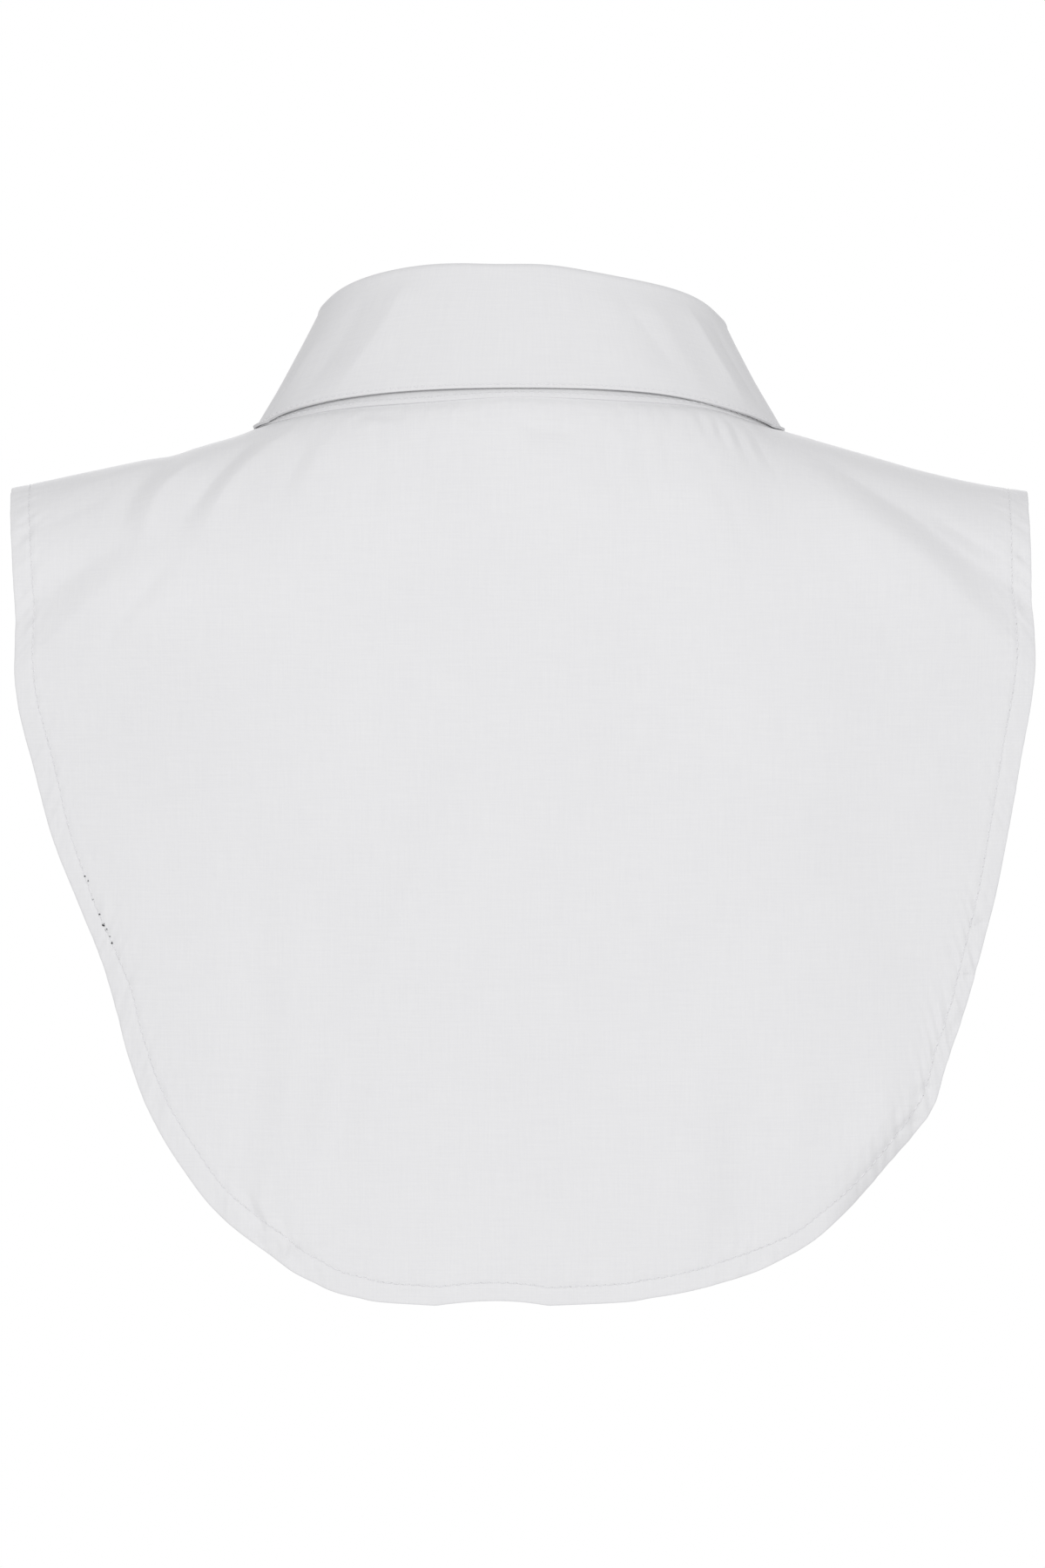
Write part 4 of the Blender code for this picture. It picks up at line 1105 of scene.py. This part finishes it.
def make_needle_holes(panel, material, sides=14):
    """Small open holes beside the stitching of the back's left hem."""
    along = np.linspace(0.02, 0.45, 4000)
    line = panel.hem_surface(along, panel.at(panel.stitching, along))
    angles = 2 * math.pi * np.arange(sides)[:, None] / sides
    rims, deep = [], []
    for height, radius, aside in NEEDLE_HOLES:
        share = along[np.argmin(np.abs(line[:, 2] - height))]
        inset = panel.at(panel.stitching, share) + aside
        middle = panel.hem_surface(share, inset, HOLE_STANDS)
        place = panel.flat(share, inset)
        normal = figure_normal(place[0], place[1], panel.part)
        across = unit(np.cross(normal, (0.0, 0.0, 1.0)))
        wobble = radius * (1 + 0.18 * np.sin(3 * angles + height))
        circle = across * np.cos(angles) * 0.85 + np.cross(across, normal) * np.sin(angles)
        rims.append(middle + circle * wobble)
        deep.append(middle - normal * HOLE_DEPTH)
    return hollow_cones("hem_needle_holes", np.array(rims), np.array(deep), material)


def buttonhole_bars(surface, bar=1.0, pitch=0.42):
    """Close bars of thread down both sides of a slit and across both of its ends.

    surface(along, across) gives a point, both measured from the middle of the slit.
    """
    end, gap = SLIT_LENGTH / 2, SLIT_HALF_WIDTH
    steps = np.arange(-end, end + pitch / 2, pitch)
    pairs = [(surface(s, k * gap), surface(s, k * (gap + bar))) for k in (-1, 1) for s in steps]
    across = np.arange(-bar, bar + 0.1, pitch)
    pairs += [(surface(k * end, a), surface(k * (end + 1.3), a)) for k in (-1, 1) for a in across]
    return np.array(pairs)


def make_buttonholes(panel, thread, tools):
    """One slit in the stand, along it, and one down the right placket behind each button."""
    pairs, throat = [], -NAPE_TO_THROAT
    for node, middle, _ in button_seats():
        if node == BUTTON_NODES[0]:
            rise = stand_rise(throat)
            up = (middle[2] - stand_surface(throat, 0.0)[2]) / rise[2]
            height = np.linalg.norm(rise)

            def surface(along, across):
                at = throat + math.degrees(along / NECK_FRONT)
                return stand_surface(at, up + across / height, 0.05)

        else:
            shares = np.linspace(0, 1, 400)
            line = placket_surface(panel, -1, OVERLAP, shares, 0.5)
            share = np.interp(-middle[2], -line[:, 2], shares)
            height = np.linalg.norm(np.diff(line, axis=0), axis=-1).sum()

            def surface(along, across):
                return placket_surface(panel, -1, OVERLAP + across, share + along / height, 0.55)

        pairs.append(buttonhole_bars(surface))
    ends = np.concatenate(pairs)
    return make_stitches("buttonhole_stitches", ends, thread, tools, 7, BAR_RADIUS, 0.06)


# ---- buttons ----------------------------------------------------------------------------------------

# Half of a button's section, from the middle of its face, round its rim, to the middle of its back.
BUTTON_PROFILE = (
    # out   height
    (0.0,   1.45),
    (2.4,   1.45),
    (2.9,   1.55),
    (3.4,   1.95),
    (3.9,   2.25),
    (4.4,   2.30),
    (4.85,  2.10),
    (5.12,  1.70),
    (5.18,  1.30),
    (4.95,  0.80),
    (4.2,   0.35),
    (2.6,   0.08),
    (0.0,   0.0),
)
BUTTON_HOLES = ((1.05, 1.05), (-1.05, 1.05), (-1.05, -1.05), (1.05, -1.05))
HOLE_RADIUS = 0.62
THREAD_LEVEL = 1.52  # of the thread over the face
BUTTON_TURNS = (4, -7, 3, 9)  # degrees, one for each button


def make_button_mesh(segments=56):
    """A turned four-hole button, its back on the XY plane, drilled with Booleans."""
    angles = np.linspace(0, 2 * math.pi, segments, endpoint=False)
    rings = BUTTON_PROFILE[1:-1]
    points = [(o * math.cos(a), o * math.sin(a), h) for o, h in rings for a in angles]
    points += [(0, 0, BUTTON_PROFILE[0][1]), (0, 0, BUTTON_PROFILE[-1][1])]
    top, last = len(rings) * segments, (len(rings) - 1) * segments
    turn = [(j, (j + 1) % segments) for j in range(segments)]
    faces = [
        (k + j, k + segments + j, k + segments + n, k + n)
        for k in range(0, last, segments)
        for j, n in turn
    ]
    faces += [(top, j, n) for j, n in turn] + [(top + 1, last + n, last + j) for j, n in turn]
    blank = bpy.data.objects.new("button_blank", mesh_from("button_blank", points, faces))
    bpy.context.scene.collection.objects.link(blank)
    spare = [blank]
    for x, y in BUTTON_HOLES:
        bpy.ops.mesh.primitive_cylinder_add(
            vertices=20, radius=HOLE_RADIUS * MM, depth=6 * MM, location=(x * MM, y * MM, MM)
        )
        spare.append(bpy.context.object)
        cut = blank.modifiers.new("hole", "BOOLEAN")
        cut.operation, cut.object = "DIFFERENCE", spare[-1]
    made = worked_out(blank)
    made.shade_smooth()
    made.set_sharp_from_angle(angle=math.radians(38))
    for obj in spare:
        bpy.data.objects.remove(obj)
    return made


def button_seats():
    """(node, middle of its back, outward direction) of every button."""
    seats = []
    for node in BUTTON_NODES:
        low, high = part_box(node)
        middle = np.array((low + high) / 2) / MM
        if node == BUTTON_NODES[0]:
            normal = unit(np.cross((1.0, 0.0, 0.0), stand_rise(-NAPE_TO_THROAT)))
        else:
            normal = figure_normal(0.0, down_at_height(0.0, middle[2], "chest"), "chest")
        seats.append((node, middle - normal * BUTTON_BACK, normal))
    return seats


def make_buttons(material, thread, tools):
    blank, stitches = make_button_mesh(), []
    for degrees, (node, back, normal) in zip(BUTTON_TURNS, button_seats()):
        turn = Vector(normal).to_track_quat("Z", "Y").to_matrix()
        turn = turn @ Matrix.Rotation(math.radians(degrees), 3, "Z")
        mesh = blank.copy()
        mesh.transform(Matrix.Translation(Vector(back) * MM) @ turn.to_4x4())
        add_piece(node + "_shell", mesh, material, [node])

        def at(x, y, z):
            return back + np.array(turn @ Vector((x, y, z)))

        for a, b in (BUTTON_HOLES[:2], BUTTON_HOLES[2:]):
            for d in (-0.26, 0.0, 0.26):
                over = (at(x, y + d, THREAD_LEVEL) for x, y in (a, b))
                stitches.append(tuple(over))
        for x, y in BUTTON_HOLES:
            for d in (-0.2, 0.15):
                p = at(0.7 * x + d, 0.7 * y + d, 0.4)
                stitches.append((p, p - normal * 2.0))
    make_stitches("button_thread", np.array(stitches), thread, tools, 90, BAR_RADIUS, 0.0)


# ---- finishes ---------------------------------------------------------------------------------------


class Finish(Tree):
    """A node material under construction, with the inputs given to its shader."""

    def __init__(self, name, given):
        self.material = bpy.data.materials.new(name)
        self.material.use_nodes = True
        super().__init__(self.material.node_tree)
        self.shader = self.nodes["Principled BSDF"]
        self.join(self.shader, given)
        self.place = self.add("ShaderNodeTexCoord")["Object"]

    def map(self, name):
        return self.add("ShaderNodeUVMap", uv_map=name)["UV"]

    def scaled(self, vector, scale):
        return self.add("ShaderNodeMapping", {"Vector": vector, "Scale": scale})["Vector"]

    def noise(self, vector, scale, detail=2.0, roughness=0.5):
        given = {"Vector": vector, "Scale": scale, "Detail": detail, "Roughness": roughness}
        return self.add("ShaderNodeTexNoise", given)["Fac"]

    def color(self, factor, stops):
        """Colours the shader by a factor that runs through two stops."""
        node = self.nodes.new("ShaderNodeValToRGB")
        for element, (place, color) in zip(node.color_ramp.elements, stops):
            element.position, element.color = place, (*color, 1.0)
        self.join(node, {"Fac": factor})
        self.join(self.shader, {"Base Color": node.outputs["Color"]})

    def bump(self, *layers):
        """Bumps the shader by layers of height, strength and distance, each on the one before."""
        below = {}
        for height, strength, distance in layers:
            given = {"Height": height, "Strength": strength, "Distance": distance * MM}
            below = {"Normal": self.add("ShaderNodeBump", given | below)["Normal"]}
        self.join(self.shader, below)


def poplin(name, light, dark, crumple, hemmed=False):
    """Plain-woven shirting: fine warp and weft, slubs, a soft uneven tone and small creases."""
    given = {"Roughness": 0.86, "Specular IOR Level": 0.25}
    made = Finish(name, given | {"Sheen Weight": 0.12, "Sheen Roughness": 0.5})
    weave = made.map("weave")
    warp = made.noise(made.scaled(weave, (1900.0, 70.0, 1.0)), 1.0, 3.0, 0.6)
    weft = made.noise(made.scaled(weave, (70.0, 1900.0, 1.0)), 1.0, 3.0, 0.6)
    threads = made.math("ADD", warp, weft)
    tone = made.math("MULTIPLY", made.noise(made.place, 26.0), 0.16)
    shade = made.math("ADD", made.math("MULTIPLY", threads, 0.42), tone)
    made.color(shade, ((0.30, dark), (0.70, light)))
    creases = made.noise(made.place, 95.0, 3.0, 0.55)
    wrinkle = made.math("SUBTRACT", made.noise(made.place, 210.0), 0.5)
    ridged = made.math("ABSOLUTE", wrinkle, 0.0)
    layers = [(threads, 0.35, 0.05), (creases, crumple, 0.5), (ridged, crumple, 0.35)]
    if hemmed:
        hem, width = made.map("hem"), HEM_PULL * MM
        inset = made.add("ShaderNodeSeparateXYZ", {"Vector": hem})["Y"]
        pulled = made.noise(made.scaled(hem, (330.0, 60.0, 1.0)), 1.0, 1.0, 0.4)
        fading = made.math("POWER", made.math("MULTIPLY", inset, 1 / width), 6.0)
        held = made.math("MULTIPLY", pulled, made.math("LESS_THAN", inset, width))
        held = made.math("MULTIPLY", held, made.math("SUBTRACT", 1.0, fading))
        layers.append((held, 0.45, 0.45))
    made.bump(*layers)
    return made.material


def sewing_thread():
    """Twisted cotton thread, a little brighter than the cloth."""
    made = Finish("sewing_thread", {"Roughness": 0.6, "Sheen Weight": 0.2})
    given = {"Vector": made.place, "Scale": 900.0}
    wave = made.add("ShaderNodeTexWave", given, wave_type="BANDS", bands_direction="DIAGONAL")
    twist = wave["Fac"]
    made.color(twist, ((0.0, (0.74, 0.74, 0.75)), (1.0, (0.86, 0.86, 0.87))))
    made.bump((twist, 0.4, 0.04))
    return made.material


def button_pearl():
    """White shirt button with a faint milky figure under a soft gloss."""
    given = {"Roughness": 0.28, "Coat Weight": 0.4, "Coat Roughness": 0.12}
    given |= {"Subsurface Weight": 0.1, "Subsurface Radius": (0.0012, 0.001, 0.0009)}
    made = Finish("button_pearl", given)
    figure = made.noise(made.scaled(made.place, (1.0, 1.0, 2.6)), 260.0, 3.0, 0.55)
    made.color(figure, ((0.25, (0.70, 0.69, 0.66)), (0.75, (0.86, 0.86, 0.85))))
    made.bump((figure, 0.15, 0.05))
    return made.material


def mottled(name, scale, dark, light, roughness=1.0, detail=1.0):
    """A plain finish that wanders between two tones."""
    made = Finish(name, {"Roughness": roughness})
    made.color(made.noise(made.place, scale, detail), ((0.3, dark), (0.7, light)))
    return made.material


# ---- studio -------------------------------------------------------------------------------------------


def area_light(name, place, size, energy, centre=(0.0, 0.0, VIEW_HEIGHT_CENTRE * MM)):
    light = bpy.data.lights.new(name, "AREA")
    light.shape, light.size, light.size_y, light.energy = "RECTANGLE", *size, energy
    obj = bpy.data.objects.new(name, light)
    obj.location = place
    obj.rotation_euler = (Vector(centre) - Vector(place)).to_track_quat("-Z", "Y").to_euler()
    obj.visible_camera = False
    bpy.context.scene.collection.objects.link(obj)


def make_studio():
    """White surroundings, soft boxes behind, before and above the wearer, and a pale floor."""
    scene = bpy.context.scene
    scene.world = bpy.data.worlds.new("studio")
    scene.world.use_nodes = True
    tree = Tree(scene.world.node_tree)
    seen = tree.nodes["Background"]
    tree.join(seen, {"Strength": 1.0, "Color": (1.0, 1.0, 1.0, 1.0)})
    lit = {"Strength": 0.61, "Color": (0.985, 0.982, 0.995, 1.0)}
    lit = tree.add("ShaderNodeBackground", lit)["Background"]
    by_ray = {"Fac": tree.add("ShaderNodeLightPath")["Is Camera Ray"], 1: lit, 2: seen.outputs["Background"]}
    surface = tree.add("ShaderNodeMixShader", by_ray)["Shader"]
    tree.join(tree.nodes["World Output"], {"Surface": surface})
    area_light("soft_box_behind", (0.0, 4.0, 1.08), (2.2, 0.8), 62.5)
    area_light("soft_box_before", (0.0, -4.0, 1.08), (2.2, 0.8), 62.5)
    area_light("soft_box_above", (0.0, 0.0, 2.2), (1.5, 1.5), 2.6)
    bpy.ops.mesh.primitive_circle_add(
        vertices=96, radius=4.0, fill_type="NGON", location=(0, 0, FLOOR_HEIGHT * MM)
    )
    floor = bpy.context.object
    floor.name = "studio_floor"
    grey = ((0.80, 0.80, 0.80), (0.84, 0.84, 0.84))
    floor.data.materials.append(mottled("pale_floor", 1.5, *grey, roughness=0.9, detail=2.0))
    camera = bpy.data.objects.new("camera", bpy.data.cameras.new("camera"))
    camera.data.sensor_width = 36.0
    long_side = VIEW_WIDTH * FRAME_SHAPE
    camera.data.lens = camera.data.sensor_width * CAMERA_DISTANCE / long_side
    camera.location = (0.0, CAMERA_DISTANCE * MM, VIEW_HEIGHT_CENTRE * MM)
    camera.rotation_euler = (math.pi / 2, 0.0, math.pi)
    scene.collection.objects.link(camera)
    scene.camera = camera
    scene.view_settings.view_transform = "Standard"


# ---- the whole collar ---------------------------------------------------------------------------------


def main():
    light, dark = (0.82, 0.82, 0.825), (0.77, 0.77, 0.78)
    cloth = poplin("poplin_hemmed", light, dark, 0.45, True)
    strip = poplin("poplin", light, dark, 0.35)
    crisp = poplin("poplin_interlined", (0.795, 0.795, 0.80), (0.745, 0.745, 0.755), 0.30)
    hole = mottled("needle_hole_shade", 1500.0, (0.02, 0.02, 0.022), (0.09, 0.09, 0.095))
    pit = mottled("needle_pit_shade", 700.0, (0.54, 0.54, 0.55), (0.70, 0.70, 0.71))
    thread, tools, panels = sewing_thread(), stitch_tree(), make_panels()

    back = panel_cloth("back_panel", panels["back"], cloth, 640, 48)
    fronts, plackets = {}, {}
    for name, _ in SIDES:
        fronts[name] = panel_cloth(name + "_front", panels[name], cloth, 420, 44)
    for name, side in SIDES:
        plackets[name] = make_placket(name + "_front_placket", panels[name], side, strip)
    stand, leaf = make_stand(crisp), make_leaf(crisp)

    sewn = {"back_hem": [hem_stitches(panels["back"])], "leaf": leaf_stitches()}
    sewn["stand"] = stand_stitches()
    for name, side in SIDES:
        make_shoulder_seam(name + "_shoulder_seam", side, panels, strip)
        hem = hem_stitches(panels[name], 1200, 0.002, 0.93)
        sewn[name + "_front"] = [hem, *placket_stitches(panels[name], side)]
    for seed, (name, rows) in enumerate(sewn.items()):
        ends = np.concatenate([row[0] for row in rows])
        make_stitches(name + "_stitches", ends, thread, tools, seed)
        needle_pits(name + "_needle_pits", rows, pit)
    make_buttonholes(panels["right"], thread, tools)
    make_needle_holes(panels["back"], hole)
    make_buttons(button_pearl(), thread, tools)

    make_studio()


main()
